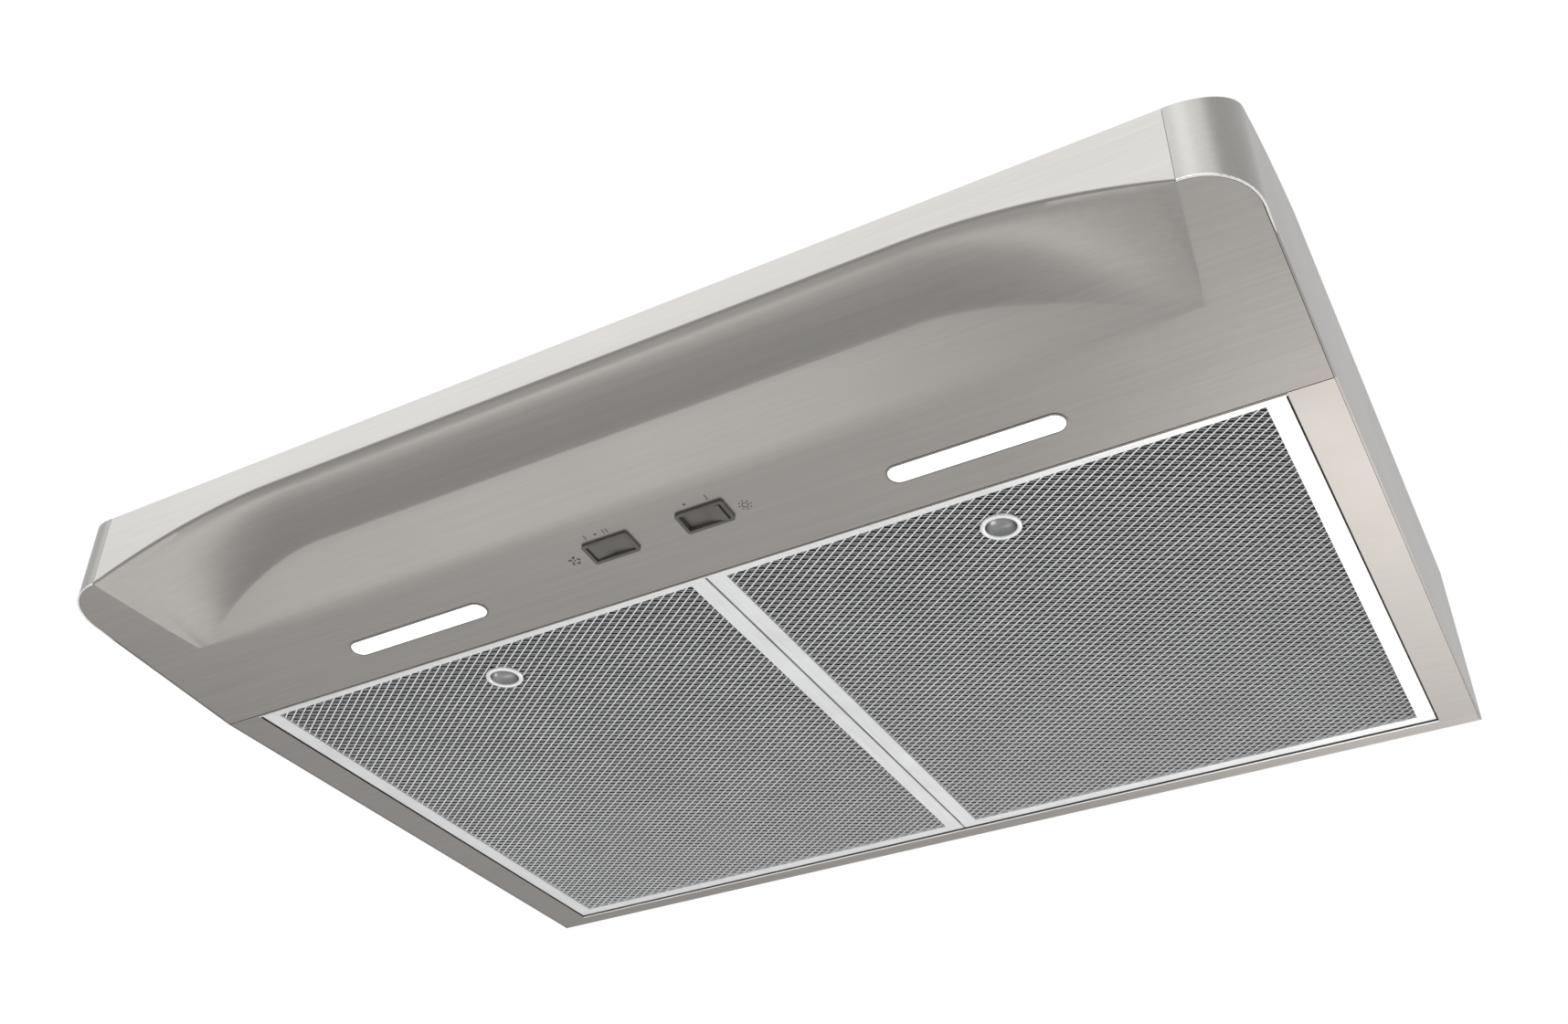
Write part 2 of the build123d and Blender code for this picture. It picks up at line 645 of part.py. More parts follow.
# Wiring compartment: cover, terminal block, capacitor and lamp driver
wiring_top = -SHEET - GAP
with BuildPart() as wiring_cover:
    with BuildSketch(Plane.XY.offset(wiring_top)):
        with Locations((WIRING_X, WIRING_Y)):
            Rectangle(WIRING_SIZE[0], WIRING_SIZE[1])
    extrude(amount=-WIRING_SIZE[2])
    with BuildSketch(Plane.XY.offset(wiring_top)):
        with Locations((WIRING_X, WIRING_Y)):
            Rectangle(WIRING_SIZE[0] - 2.0, WIRING_SIZE[1] - 2.0)
    extrude(amount=1.0 - WIRING_SIZE[2], mode=Mode.SUBTRACT)
    with BuildSketch(Plane.XY.offset(wiring_top)):
        with Locations((WIRING_X - 62.0, WIRING_Y), (WIRING_X + 62.0, WIRING_Y)):
            Rectangle(14.0, 20.0)
        with Locations((WIRING_X - 63.0, WIRING_Y), (WIRING_X + 63.0, WIRING_Y)):
            Circle(1.8, mode=Mode.SUBTRACT)
    extrude(amount=-1.0)
save(wiring_cover, "wiring_cover")

with BuildPart() as wiring_screws:
    for side in (-1, 1):
        with BuildSketch(Plane.XY.offset(wiring_top)):
            with Locations((WIRING_X + side * 63.0, WIRING_Y)):
                Circle(1.8)
        extrude(amount=-1.0)
        with BuildSketch(Plane.XY.offset(wiring_top - 1.0)):
            with Locations((WIRING_X + side * 63.0, WIRING_Y)):
                Circle(3.6)
        extrude(amount=-2.2)
save(wiring_screws, "wiring_screws")

cover_floor = wiring_top - WIRING_SIZE[2] + 1.0
with BuildPart() as terminal_block:
    with BuildSketch(Plane.XY.offset(cover_floor)):
        with Locations((WIRING_X - 30.0, WIRING_Y + 20.0)):
            Rectangle(36.0, 16.0)
    extrude(amount=14.0)
    with BuildSketch(Plane.XY.offset(cover_floor + 14.0)):
        with Locations((WIRING_X - 30.0, WIRING_Y + 20.0)):
            with GridLocations(11.0, 1.0, 3, 1):
                Circle(2.6)
    extrude(amount=-6.0, mode=Mode.SUBTRACT)
save(terminal_block, "terminal_block")

with BuildPart() as capacitor:
    with BuildSketch(Plane.XY.offset(cover_floor)):
        with Locations((WIRING_X - 30.0, WIRING_Y - 18.0)):
            Circle(13.0)
    extrude(amount=36.0)
    fillet(edges().group_by(Axis.Z)[-1], 2.0)
save(capacitor, "capacitor")

with BuildPart() as lamp_driver:
    with BuildSketch(Plane.XY.offset(cover_floor)):
        with Locations((WIRING_X + 24.0, WIRING_Y - 12.0)):
            RectangleRounded(50.0, 34.0, 3.0)
    extrude(amount=20.0)
    fillet(edges().group_by(Axis.Z)[-1], 1.5)
save(lamp_driver, "lamp_driver")
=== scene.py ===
"""Under cabinet range hood: finishes, finely shaped pieces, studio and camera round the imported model."""
import logging
import math
from dataclasses import dataclass, field
from enum import Enum
from typing import Callable, Optional, Sequence, Union

import bpy
from mathutils import Matrix, Vector


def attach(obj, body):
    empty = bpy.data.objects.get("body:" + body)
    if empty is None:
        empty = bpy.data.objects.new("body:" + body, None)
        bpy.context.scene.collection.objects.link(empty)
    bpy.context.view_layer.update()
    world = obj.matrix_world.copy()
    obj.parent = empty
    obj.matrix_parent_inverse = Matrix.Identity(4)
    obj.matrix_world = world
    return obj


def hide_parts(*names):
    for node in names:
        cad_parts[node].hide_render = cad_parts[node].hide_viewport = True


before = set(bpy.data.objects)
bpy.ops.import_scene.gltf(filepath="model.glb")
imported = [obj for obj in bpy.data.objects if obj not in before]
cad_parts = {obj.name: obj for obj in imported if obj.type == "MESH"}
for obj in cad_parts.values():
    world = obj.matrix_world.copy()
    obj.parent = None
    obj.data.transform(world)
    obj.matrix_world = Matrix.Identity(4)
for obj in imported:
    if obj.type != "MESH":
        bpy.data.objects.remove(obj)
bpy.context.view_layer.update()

MM = 0.001
LOG = logging.getLogger("range_hood")

Number = Union[int, float]
Colour = tuple[float, float, float]
Point = tuple[float, float]
Operand = Union["Value", int, float]
Settings = Optional[dict]


class Side(Enum):
    """The two hands of the hood, with the sign of their X."""

    LEFT = -1
    RIGHT = 1

    @property
    def word(self) -> str:
        """Name used in piece names."""
        return self.name.lower()


class Grain(Enum):
    """Direction that a brushed finish runs in, as stretch factors of the noise along X, Y and Z."""

    ACROSS = (1.0, 60.0, 60.0)
    DEEP = (60.0, 1.0, 60.0)


# ---------------------------------------------------------------- shader maths


class Value:
    """A shader socket that takes part in ordinary arithmetic."""

    def __init__(self, tree: "ShaderTree", socket: bpy.types.NodeSocket) -> None:
        """Wrap a socket.

        Args:
            tree: The tree that the socket belongs to.
            socket: An output socket that carries a number.
        """
        self.tree = tree
        self.socket = socket

    def _math(self, operation: str, *operands: Operand) -> "Value":
        """Add one Math node.

        Args:
            operation: The node's operation.
            operands: Values or numbers, in the node's order.

        Returns:
            The node's result.
        """
        inputs = dict(enumerate(operands))
        return self.tree.add("ShaderNodeMath", {"operation": operation}, inputs)

    def __add__(self, other: Operand) -> "Value":
        """Sum."""
        return self._math("ADD", self, other)

    def __radd__(self, other: Number) -> "Value":
        """Sum, number first."""
        return self._math("ADD", other, self)

    def __sub__(self, other: Operand) -> "Value":
        """Difference."""
        return self._math("SUBTRACT", self, other)

    def __rsub__(self, other: Number) -> "Value":
        """Difference, number first."""
        return self._math("SUBTRACT", other, self)

    def __mul__(self, other: Operand) -> "Value":
        """Product."""
        return self._math("MULTIPLY", self, other)

    def most(self, other: Operand) -> "Value":
        """Larger of two values."""
        return self._math("MAXIMUM", self, other)

    def ramp(self, low: float, high: float, start: float = 0.0, end: float = 1.0) -> "Value":
        """Map a range smoothly onto another.

        Args:
            low: Input at which the result is start.
            high: Input at which the result is end.
            start: Result at and below low.
            end: Result at and above high.

        Returns:
            The mapped value.
        """
        settings = {"interpolation_type": "SMOOTHSTEP"}
        inputs = {"Value": self, "From Min": low, "From Max": high, "To Min": start, "To Max": end}
        return self.tree.add("ShaderNodeMapRange", settings, inputs)


class ShaderTree:
    """Node tree of one material, world or light."""

    def __init__(self, owner: bpy.types.ID) -> None:
        """Empty the owner's tree.

        Args:
            owner: The data block whose nodes are written.
        """
        owner.use_nodes = True
        self.nodes = owner.node_tree.nodes
        self.links = owner.node_tree.links
        self.nodes.clear()

    def make(
        self, kind: str, settings: Settings = None, inputs: Settings = None
    ) -> bpy.types.Node:
        """Add one node.

        Args:
            kind: The node's type.
            settings: Properties that are set before the sockets.
            inputs: Socket names or numbers, each with a value or a Value to link.

        Returns:
            The new node.
        """
        node = self.nodes.new(kind)
        for key, value in (settings or {}).items():
            setattr(node, key, value)
        for key, value in (inputs or {}).items():
            if isinstance(value, Value):
                self.links.new(value.socket, node.inputs[key])
            else:
                node.inputs[key].default_value = value
        return node

    def add(
        self, kind: str, settings: Settings = None, inputs: Settings = None,
        output: Union[int, str] = 0,
    ) -> Value:
        """Add one node and take one of its outputs.

        Args:
            kind: The node's type.
            settings: Properties that are set before the sockets.
            inputs: Socket names or numbers, each with a value or a Value to link.
            output: Name or number of the output.

        Returns:
            The chosen output.
        """
        return Value(self, self.make(kind, settings, inputs).outputs[output])

    def place(self) -> Value:
        """Place on the piece, in metres."""
        return self.add("ShaderNodeTexCoord", output="Object")

    def scaled(self, vector: Value, factors: Sequence[float]) -> Value:
        """Scale a vector along its axes."""
        return self.add("ShaderNodeVectorMath", {"operation": "MULTIPLY"}, {0: vector, 1: tuple(factors)})

    def axes(self, vector: Value) -> tuple[Value, Value, Value]:
        """Split a vector into its three numbers."""
        node = self.make("ShaderNodeSeparateXYZ", inputs={0: vector})
        return Value(self, node.outputs[0]), Value(self, node.outputs[1]), Value(self, node.outputs[2])

    def noise(self, vector: Value, scale: float, detail: float = 2.0, rough: float = 0.5) -> Value:
        """Smooth noise from 0 to 1."""
        inputs = {"Vector": vector, "Scale": scale, "Detail": detail, "Roughness": rough}
        return self.add("ShaderNodeTexNoise", {"noise_dimensions": "3D"}, inputs, "Fac")

    def blend(
        self, factor: Operand, first: Union[Value, Colour], second: Union[Value, Colour]
    ) -> Value:
        """Mix two colours.

        Args:
            factor: Share of the second colour.
            first: Colour or linked colour.
            second: Colour or linked colour.

        Returns:
            The mixed colour.
        """
        node = self.make("ShaderNodeMix", {"data_type": "RGBA"}, {0: factor})
        for number, colour in ((6, first), (7, second)):
            if isinstance(colour, Value):
                self.links.new(colour.socket, node.inputs[number])
            else:
                node.inputs[number].default_value = (*colour, 1.0)
        return Value(self, node.outputs[2])

    def bump(self, height: Value, strength: float, distance: float) -> Value:
        """Turn a height into a normal."""
        inputs = {"Height": height, "Strength": strength, "Distance": distance}
        return self.add("ShaderNodeBump", None, inputs)

    def surface(self, inputs: dict) -> None:
        """End the tree in a Principled shader.

        Args:
            inputs: The shader's sockets with their values or links.
        """
        shader = self.make("ShaderNodeBsdfPrincipled", None, inputs)
        end = self.make("ShaderNodeOutputMaterial")
        self.links.new(shader.outputs[0], end.inputs["Surface"])


# ---------------------------------------------------------------- finishes


def shaded(tone: Colour, factor: float) -> Colour:
    """Darken or lighten a colour, white at most."""
    return tuple(min(1.0, c * factor) for c in tone)


@dataclass(frozen=True)
class Finish:
    """Base of every finish: a named material, made once."""

    name: str

    def write(self, tree: ShaderTree) -> None:
        """Write the finish's nodes."""
        raise NotImplementedError

    def material(self) -> bpy.types.Material:
        """Give the finish's material, making it on first use."""
        known = bpy.data.materials.get(self.name)
        if known is None:
            known = bpy.data.materials.new(self.name)
            self.write(ShaderTree(known))
        return known


@dataclass(frozen=True)
class BrushedSteel(Finish):
    """Stainless steel with a satin brushed grain, faint long streaks and handling marks."""

    tone: Colour = (0.345, 0.325, 0.307)
    grain: Grain = Grain.ACROSS
    rough: float = 0.36
    streaks: float = 0.065

    def write(self, tree: ShaderTree) -> None:
        """Write fine grain, long streaks and cloudy marks."""
        place = tree.place()
        along = tree.scaled(place, self.grain.value)
        hair = tree.noise(along, 26.0, 4.0, 0.7)
        line = tree.noise(along, 5.5, 3.0, 0.6)
        cloud = tree.noise(place, 9.0, 3.0, 0.55)
        mixed = hair * 0.45 + line * 0.40 + cloud * 0.15
        dark = shaded(self.tone, 1 - self.streaks)
        light = shaded(self.tone, 1 + self.streaks)
        tree.surface({
            "Base Color": tree.blend(mixed.ramp(0.30, 0.70), dark, light),
            "Metallic": 1.0,
            "Roughness": self.rough + (mixed - 0.5) * 0.16 + (cloud - 0.5) * 0.08,
            "Normal": tree.bump(hair * 0.7 + line * 0.3, 0.12, 0.00008),
        })


@dataclass(frozen=True)
class Galvanised(Finish):
    """Zinc coated sheet with its crystal spangle."""

    tone: Colour = (0.46, 0.48, 0.49)

    def write(self, tree: ShaderTree) -> None:
        """Write spangle cells and a dull bloom."""
        place = tree.place()
        cells = {"Vector": place, "Scale": 85.0}
        crystal = tree.add("ShaderNodeTexVoronoi", {"feature": "F1"}, cells, "Color")
        shade, tilt, _ = tree.axes(crystal)
        bloom = tree.noise(place, 24.0, 4.0, 0.6)
        dark = shaded(self.tone, 0.78)
        light = shaded(self.tone, 1.22)
        tree.surface({
            "Base Color": tree.blend(shade * 0.6 + bloom * 0.4, dark, light),
            "Metallic": 0.9,
            "Roughness": 0.34 + tilt * 0.16 + bloom * 0.10,
            "Normal": tree.bump(shade + bloom * 0.6, 0.10, 0.0001),
        })


@dataclass(frozen=True)
class BrightAluminium(Finish):
    """Pale mill aluminium of the filter rails, strands and cups."""

    tone: Colour = (0.86, 0.86, 0.86)
    metal: float = 0.55
    rough: float = 0.38
    fade: float = 0.10

    def write(self, tree: ShaderTree) -> None:
        """Write rolling lines and a light bloom."""
        place = tree.place()
        rolled = tree.noise(tree.scaled(place, (40.0, 1.0, 40.0)), 14.0, 3.0, 0.6)
        bloom = tree.noise(place, 30.0, 4.0, 0.6)
        dark = shaded(self.tone, 1 - self.fade)
        tree.surface({
            "Base Color": tree.blend((rolled * 0.5 + bloom * 0.5).ramp(0.35, 0.65), dark, self.tone),
            "Metallic": self.metal,
            "Roughness": self.rough + (bloom - 0.5) * 0.16,
            "Normal": tree.bump(rolled * 0.5 + bloom * 0.5, 0.08, 0.0001),
        })


@dataclass(frozen=True)
class FilterWool(Finish):
    """Packed layers of stretched foil seen through the outer strands, painted near black as painted shade of
    the filter's inside.
    """

    def write(self, tree: ShaderTree) -> None:
        """Write crossing fibres painted dark, with darker gaps of painted shadow between them."""
        place = tree.place()
        first = tree.noise(tree.scaled(place, (1.0, 0.45, 1.0)), 420.0, 4.0, 0.7)
        second = tree.noise(tree.scaled(place, (0.4, 1.0, 1.0)), 610.0, 3.0, 0.7)
        fibre = first.ramp(0.50, 0.68).most(second.ramp(0.54, 0.72) * 0.8)
        tree.surface({
            "Base Color": tree.blend(fibre, (0.012, 0.012, 0.013), (0.11, 0.11, 0.11)),
            "Metallic": 0.35,
            "Roughness": 0.62 - fibre * 0.18,
            "Normal": tree.bump(fibre, 0.7, 0.0008),
        })


@dataclass(frozen=True)
class Moulded(Finish):
    """Moulded plastic or rubber with a spark eroded texture."""

    tone: Colour = (0.10, 0.095, 0.088)
    rough: float = 0.42
    grit: float = 2600.0

    def write(self, tree: ShaderTree) -> None:
        """Write fine grit and slow colour drift."""
        place = tree.place()
        grit = tree.noise(place, self.grit, 2.0, 0.6)
        drift = tree.noise(place, 60.0, 3.0, 0.5)
        dark = shaded(self.tone, 0.86)
        light = shaded(self.tone, 1.14)
        tree.surface({
            "Base Color": tree.blend((grit * 0.4 + drift * 0.6).ramp(0.3, 0.7), dark, light),
            "Roughness": self.rough + (grit - 0.5) * 0.18,
            "Normal": tree.bump(grit, 0.16, 0.00005),
        })


@dataclass(frozen=True)
class GlowingDiffuser(Finish):
    """Opal lamp diffuser, lit from behind by a row of small lamps."""

    strength: float = 1.5

    def write(self, tree: ShaderTree) -> None:
        """Write an even glow with a faint drift."""
        place = tree.place()
        drift = tree.noise(place, 45.0, 2.0, 0.5)
        glow = tree.blend(drift, (1.0, 0.985, 0.96), (1.0, 1.0, 1.0))
        tree.surface({
            "Base Color": tree.blend(drift, (0.86, 0.86, 0.85), (0.92, 0.92, 0.92)),
            "Roughness": 0.30 + drift * 0.12,
            "Emission Color": glow,
            "Emission Strength": self.strength,
            "Normal": tree.bump(tree.noise(place, 1800.0), 0.05, 0.00005),
        })


@dataclass(frozen=True)
class PrintedInk(Finish):
    """Pad printed dark ink with slightly uneven cover."""

    tone: Colour = (0.055, 0.050, 0.046)

    def write(self, tree: ShaderTree) -> None:
        """Write the ink's mottled cover."""
        place = tree.place()
        cover = tree.noise(place, 1500.0, 3.0, 0.6)
        light = shaded(self.tone, 2.0)
        tree.surface({
            "Base Color": tree.blend(cover.ramp(0.4, 0.8), self.tone, light),
            "Roughness": 0.50 + cover * 0.15,
            "Normal": tree.bump(cover, 0.10, 0.00003),
        })


@dataclass(frozen=True)
class PrintedBoard(Finish):
    """Green lamp board with a fine track pattern."""

    def write(self, tree: ShaderTree) -> None:
        """Write solder mask and tracks."""
        place = tree.place()
        settings = {"wave_type": "BANDS", "bands_direction": "Y"}
        inputs = {"Vector": place, "Scale": 220.0, "Distortion": 2.0}
        track = tree.add("ShaderNodeTexWave", settings, inputs, "Fac").ramp(0.55, 0.65)
        tree.surface({
            "Base Color": tree.blend(track, (0.02, 0.12, 0.05), (0.05, 0.22, 0.09)),
            "Roughness": 0.35 + track * 0.12,
            "Normal": tree.bump(track, 0.2, 0.0001),
        })


@dataclass(frozen=True)
class PaintedShadeFloor(Finish):
    """Matt studio floor with painted shade: darker towards the front and the far left, leaving a painted pool
    of light under and behind the hood.
    """

    tone: Colour = (0.74, 0.74, 0.74)
    # Colour of the painted shade at the front and far left of the floor.
    front: Colour = (0.46, 0.46, 0.46)

    def write(self, tree: ShaderTree) -> None:
        """Write the painted shade, darker to the front and the far left, and a trace of paper grain."""
        place = tree.place()
        wide, deep, _ = tree.axes(place)
        grain = tree.noise(place, 240.0, 2.0, 0.5)
        # Painted shade: darker towards the front and the far left, a painted pool of light under and behind
        # the hood.
        shade = tree.blend(deep.ramp(-1.6, 0.2) * wide.ramp(-2.8, -0.7), self.front, self.tone)
        tree.surface({
            "Base Color": tree.blend(grain * 0.06, shade, (0.74, 0.74, 0.73)),
            "Roughness": 0.9 + (grain - 0.5) * 0.06,
        })


STEEL = BrushedSteel("hood_brushed_steel")
# Side panels: the body's stainless steel with its grain running front to back, painted darker as painted
# shade on the upright sides.
SIDE_STEEL_PAINTED_SHADE = BrushedSteel("hood_side_steel_painted_shade", tone=(0.275, 0.263, 0.250), grain=Grain.DEEP)
# Painted highlight: the hem and corner lips are the hood's stainless steel, painted far paler for the light
# their rolled edges catch.
HEM_STEEL_PAINTED_HIGHLIGHT = BrushedSteel("hood_hem_painted_highlight", tone=(0.86, 0.85, 0.83), rough=0.30, streaks=0.05)
ZINC = Galvanised("hood_galvanised")
RAIL = BrightAluminium("filter_rail_aluminium")
STRAND = BrightAluminium("filter_strand_aluminium", tone=(0.97, 0.97, 0.97), metal=0.35, rough=0.34)
RUNG = BrightAluminium("filter_rung_aluminium", tone=(0.84, 0.84, 0.84), metal=0.5, rough=0.36)
CUP = BrightAluminium("filter_cup_aluminium", tone=(0.95, 0.95, 0.95), metal=0.5, rough=0.30)
# Painted shade: the dish is the same aluminium as the bright rim, painted dark for the shade inside the
# hollow cup.
DISH_PAINTED_SHADE = BrightAluminium("filter_dish_painted_shade", tone=(0.30, 0.30, 0.30), metal=0.85, rough=0.30)
# Painted shade: the foil pad is painted near black, with blacker painted shadow in the gaps between fibres.
WOOL_PAINTED_SHADE = FilterWool("filter_foil_wool_painted_shade")
ROCKER = Moulded("switch_rocker_plastic", tone=(0.118, 0.107, 0.096), rough=0.38)
BEZEL = Moulded("switch_bezel_plastic", tone=(0.095, 0.086, 0.078), rough=0.40)
OPAL = GlowingDiffuser("lamp_opal_diffuser")
INK = PrintedInk("panel_printed_ink")
BOARD = PrintedBoard("lamp_board_mask")
MOTOR = Moulded("motor_black_enamel", tone=(0.030, 0.031, 0.033), rough=0.45, grit=900.0)
RUBBER = Moulded("grommet_rubber", tone=(0.022, 0.022, 0.022), rough=0.70, grit=1400.0)
BLOCK = Moulded("terminal_white_nylon", tone=(0.72, 0.71, 0.67), rough=0.48)
CAN = BrightAluminium("capacitor_can", tone=(0.62, 0.62, 0.63), metal=0.95, rough=0.30)
SPRING = BrushedSteel("spring_steel", tone=(0.52, 0.51, 0.50), rough=0.28)
PIN = BrushedSteel("turned_pin_steel", tone=(0.60, 0.60, 0.60), rough=0.24)
# Painted shade: the lamp rims are the panel's steel painted darker, for the dark line at the gap round each
# lens.
LENS_RIM_PAINTED_SHADE = BrushedSteel("lamp_rim_steel", tone=(0.26, 0.25, 0.24), rough=0.34, streaks=0.05)
PAINTED_SHADE_FLOOR = PaintedShadeFloor("studio_floor_painted_shade")


# ---------------------------------------------------------------- workbench


class Bench:
    """Mesh tools that shape a piece as by hand and fit it to the frame."""

    @staticmethod
    def clear() -> None:
        """Leave edit mode and deselect everything."""
        if bpy.context.object is not None and bpy.context.object.mode != "OBJECT":
            bpy.ops.object.mode_set(mode="OBJECT")
        bpy.ops.object.select_all(action="DESELECT")

    @staticmethod
    def take(piece: bpy.types.Object) -> bpy.types.Object:
        """Make one object the only selected and active one."""
        Bench.clear()
        piece.select_set(True)
        bpy.context.view_layer.objects.active = piece
        return piece

    @staticmethod
    def edit(piece: bpy.types.Object) -> None:
        """Enter edit mode with the whole mesh selected."""
        Bench.take(piece)
        bpy.ops.object.mode_set(mode="EDIT")
        bpy.ops.mesh.select_all(action="SELECT")

    @staticmethod
    def pull(step: Sequence[float]) -> None:
        """Draw the selected edges or faces out by a step in millimetres."""
        move = [v * MM for v in step]
        bpy.ops.mesh.extrude_region_move(TRANSFORM_OT_translate={"value": move})

    @staticmethod
    def open_with(piece: bpy.types.Object, tool: bpy.types.Object) -> None:
        """Take a tool's shape out of a piece and drop the tool."""
        Bench.modify(piece, "BOOLEAN", operation="DIFFERENCE", solver="EXACT", object=tool)
        bpy.data.objects.remove(tool)

    @staticmethod
    def block(low: Sequence[float], high: Sequence[float]) -> bpy.types.Object:
        """Start from a block between two corners.

        Args:
            low: Lowest corner, in millimetres.
            high: Highest corner, in millimetres.

        Returns:
            The new block, with its size and place applied.
        """
        Bench.clear()
        middle = [(a + b) / 2 * MM for a, b in zip(low, high)]
        bpy.ops.mesh.primitive_cube_add(size=1, location=middle)
        piece = bpy.context.object
        piece.scale = [(b - a) * MM for a, b in zip(low, high)]
        Bench.settle(piece)
        return piece

    @staticmethod
    def settle(piece: bpy.types.Object) -> None:
        """Apply an object's place, turn and scale to its mesh."""
        Bench.take(piece)
        bpy.ops.object.transform_apply(location=True, rotation=True, scale=True)

    @staticmethod
    def pick(piece: bpy.types.Object, test: Callable[[bpy.types.MeshPolygon], bool]) -> None:
        """Enter edit mode with the faces that pass a test selected."""
        Bench.take(piece)
        bpy.ops.object.mode_set(mode="EDIT")
        bpy.ops.mesh.select_all(action="DESELECT")
        bpy.ops.object.mode_set(mode="OBJECT")
        for face in piece.data.polygons:
            face.select = test(face)
        bpy.ops.object.mode_set(mode="EDIT")
        bpy.ops.mesh.select_mode(type="FACE")

    @staticmethod
    def modify(piece: bpy.types.Object, kind: str, **settings: object) -> None:
        """Add one modifier and apply it.

        Args:
            piece: The object that is changed.
            kind: The modifier's type.
            settings: The modifier's properties.
        """
        Bench.take(piece)
        modifier = piece.modifiers.new(kind.lower(), kind)
        for key, value in settings.items():
            setattr(modifier, key, value)
        bpy.ops.object.modifier_apply(modifier=modifier.name)

    @staticmethod
    def soften(piece: bpy.types.Object, width: float, segments: int = 2, limit: float = 30.0) -> None:
        """Round the sharp edges of a piece, by a width in millimetres."""
        angle = math.radians(limit)
        Bench.modify(
            piece, "BEVEL", width=width * MM, segments=segments, limit_method="ANGLE", angle_limit=angle
        )

    @staticmethod
    def join(pieces: Sequence[bpy.types.Object]) -> bpy.types.Object:
        """Join pieces into the first one."""
        Bench.clear()
        for piece in pieces:
            piece.select_set(True)
        bpy.context.view_layer.objects.active = pieces[0]
        bpy.ops.object.join()
        return pieces[0]

    @staticmethod
    def shift(piece: bpy.types.Object, step: Sequence[float]) -> bpy.types.Object:
        """Move a piece by a step in millimetres and apply it."""
        piece.location = [v * MM for v in step]
        Bench.settle(piece)
        return piece

    @staticmethod
    def reshape(piece: bpy.types.Object, move: Callable[[Vector], Vector]) -> None:
        """Move every vertex by a rule that takes and gives millimetres."""
        for vertex in piece.data.vertices:
            vertex.co = move(vertex.co / MM) * MM
        piece.data.update()

    @staticmethod
    def merge(piece: bpy.types.Object, distance: float = 0.01, outward: bool = True) -> None:
        """Merge doubled vertices, and turn the faces outward where asked."""
        Bench.edit(piece)
        bpy.ops.mesh.remove_doubles(threshold=distance * MM)
        if outward:
            bpy.ops.mesh.normals_make_consistent(inside=False)
        bpy.ops.object.mode_set(mode="OBJECT")

    @staticmethod
    def cut(piece: bpy.types.Object, point: Sequence[float], normal: Sequence[float]) -> None:
        """Cut a piece with a plane and drop what lies on the normal's side.

        Args:
            piece: The object that is cut.
            point: A point on the plane, in millimetres.
            normal: Direction of the part that is dropped.
        """
        Bench.edit(piece)
        place = [v * MM for v in point]
        bpy.ops.mesh.bisect(
            plane_co=place, plane_no=normal, use_fill=False, clear_outer=True, clear_inner=False
        )
        bpy.ops.object.mode_set(mode="OBJECT")

    @staticmethod
    def finish(
        piece: bpy.types.Object, name: str, body: str, slot: str, finish: Finish, smooth: float = 30.0
    ) -> bpy.types.Object:
        """Name, shade, dress and mount a finished piece.

        Args:
            piece: The finished object.
            name: Its name in the table of pieces.
            body: The moving body that it rides on.
            slot: Not used.
            finish: Its finish.
            smooth: Angle below which its edges shade smoothly, in degrees.

        Returns:
            The same object.
        """
        Bench.take(piece)
        bpy.ops.object.shade_smooth_by_angle(angle=math.radians(smooth))
        piece.name = name
        piece.data.name = name
        piece.data.materials.clear()
        piece.data.materials.append(finish.material())
        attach(piece, body)
        LOG.info("piece %s rides on %s with %d faces", name, body, len(piece.data.polygons))
        return piece


def dress(node: str, finish: Finish) -> None:
    """Give a carried-over node its finish.

    Args:
        node: The node's name.
        finish: The finish for all of its slots.
    """
    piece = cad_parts[node]
    if not piece.material_slots:
        piece.data.materials.append(finish.material())
    for place in piece.material_slots:
        place.material = finish.material()
    LOG.info("node %s wears %s", node, finish.name)


# ---------------------------------------------------------------- the hood's pieces


@dataclass
class PanelSlope:
    """The sloping control panel that the lamps, switches and marks sit on, in millimetres."""

    crease_y: float = -208.0
    bottom_z: float = -122.0
    front_y: float = -365.0
    rise: float = 13.6
    seam: float = 0.2
    corner_x: float = 346.5
    corner_y: float = -332.0
    corner_r: float = 31.7
    lamp_x: float = 191.3
    lamp_along: float = 31.1
    switch_along: float = 47.2
    fan_x: float = -35.0
    light_x: float = 29.5

    @property
    def angle(self) -> float:
        """Slope of the panel, in radians."""
        return math.atan2(self.rise, self.crease_y - self.front_y)

    def height(self, y: float) -> float:
        """Height of the panel's face at a depth y."""
        return self.bottom_z + (self.crease_y - y) * math.tan(self.angle)

    def point(self, x: float, along: float, out: float = 0.0) -> Vector:
        """Place on the panel.

        Args:
            x: Distance from the centre line.
            along: Distance forward of the crease, on the panel.
            out: Distance off the panel, downward.

        Returns:
            The point, in millimetres.
        """
        sine, cosine = math.sin(self.angle), math.cos(self.angle)
        y = self.crease_y - along * cosine - out * sine
        z = self.bottom_z + along * sine - out * cosine
        return Vector((x, y, z))

    def lay(self, piece: bpy.types.Object, x: float, along: float) -> None:
        """Lay a piece modelled flat, with -Z outward and -Y forward, on the panel."""
        Bench.reshape(piece, lambda p: self.point(x + p.x, along - p.y, -p.z))


PANEL = PanelSlope()


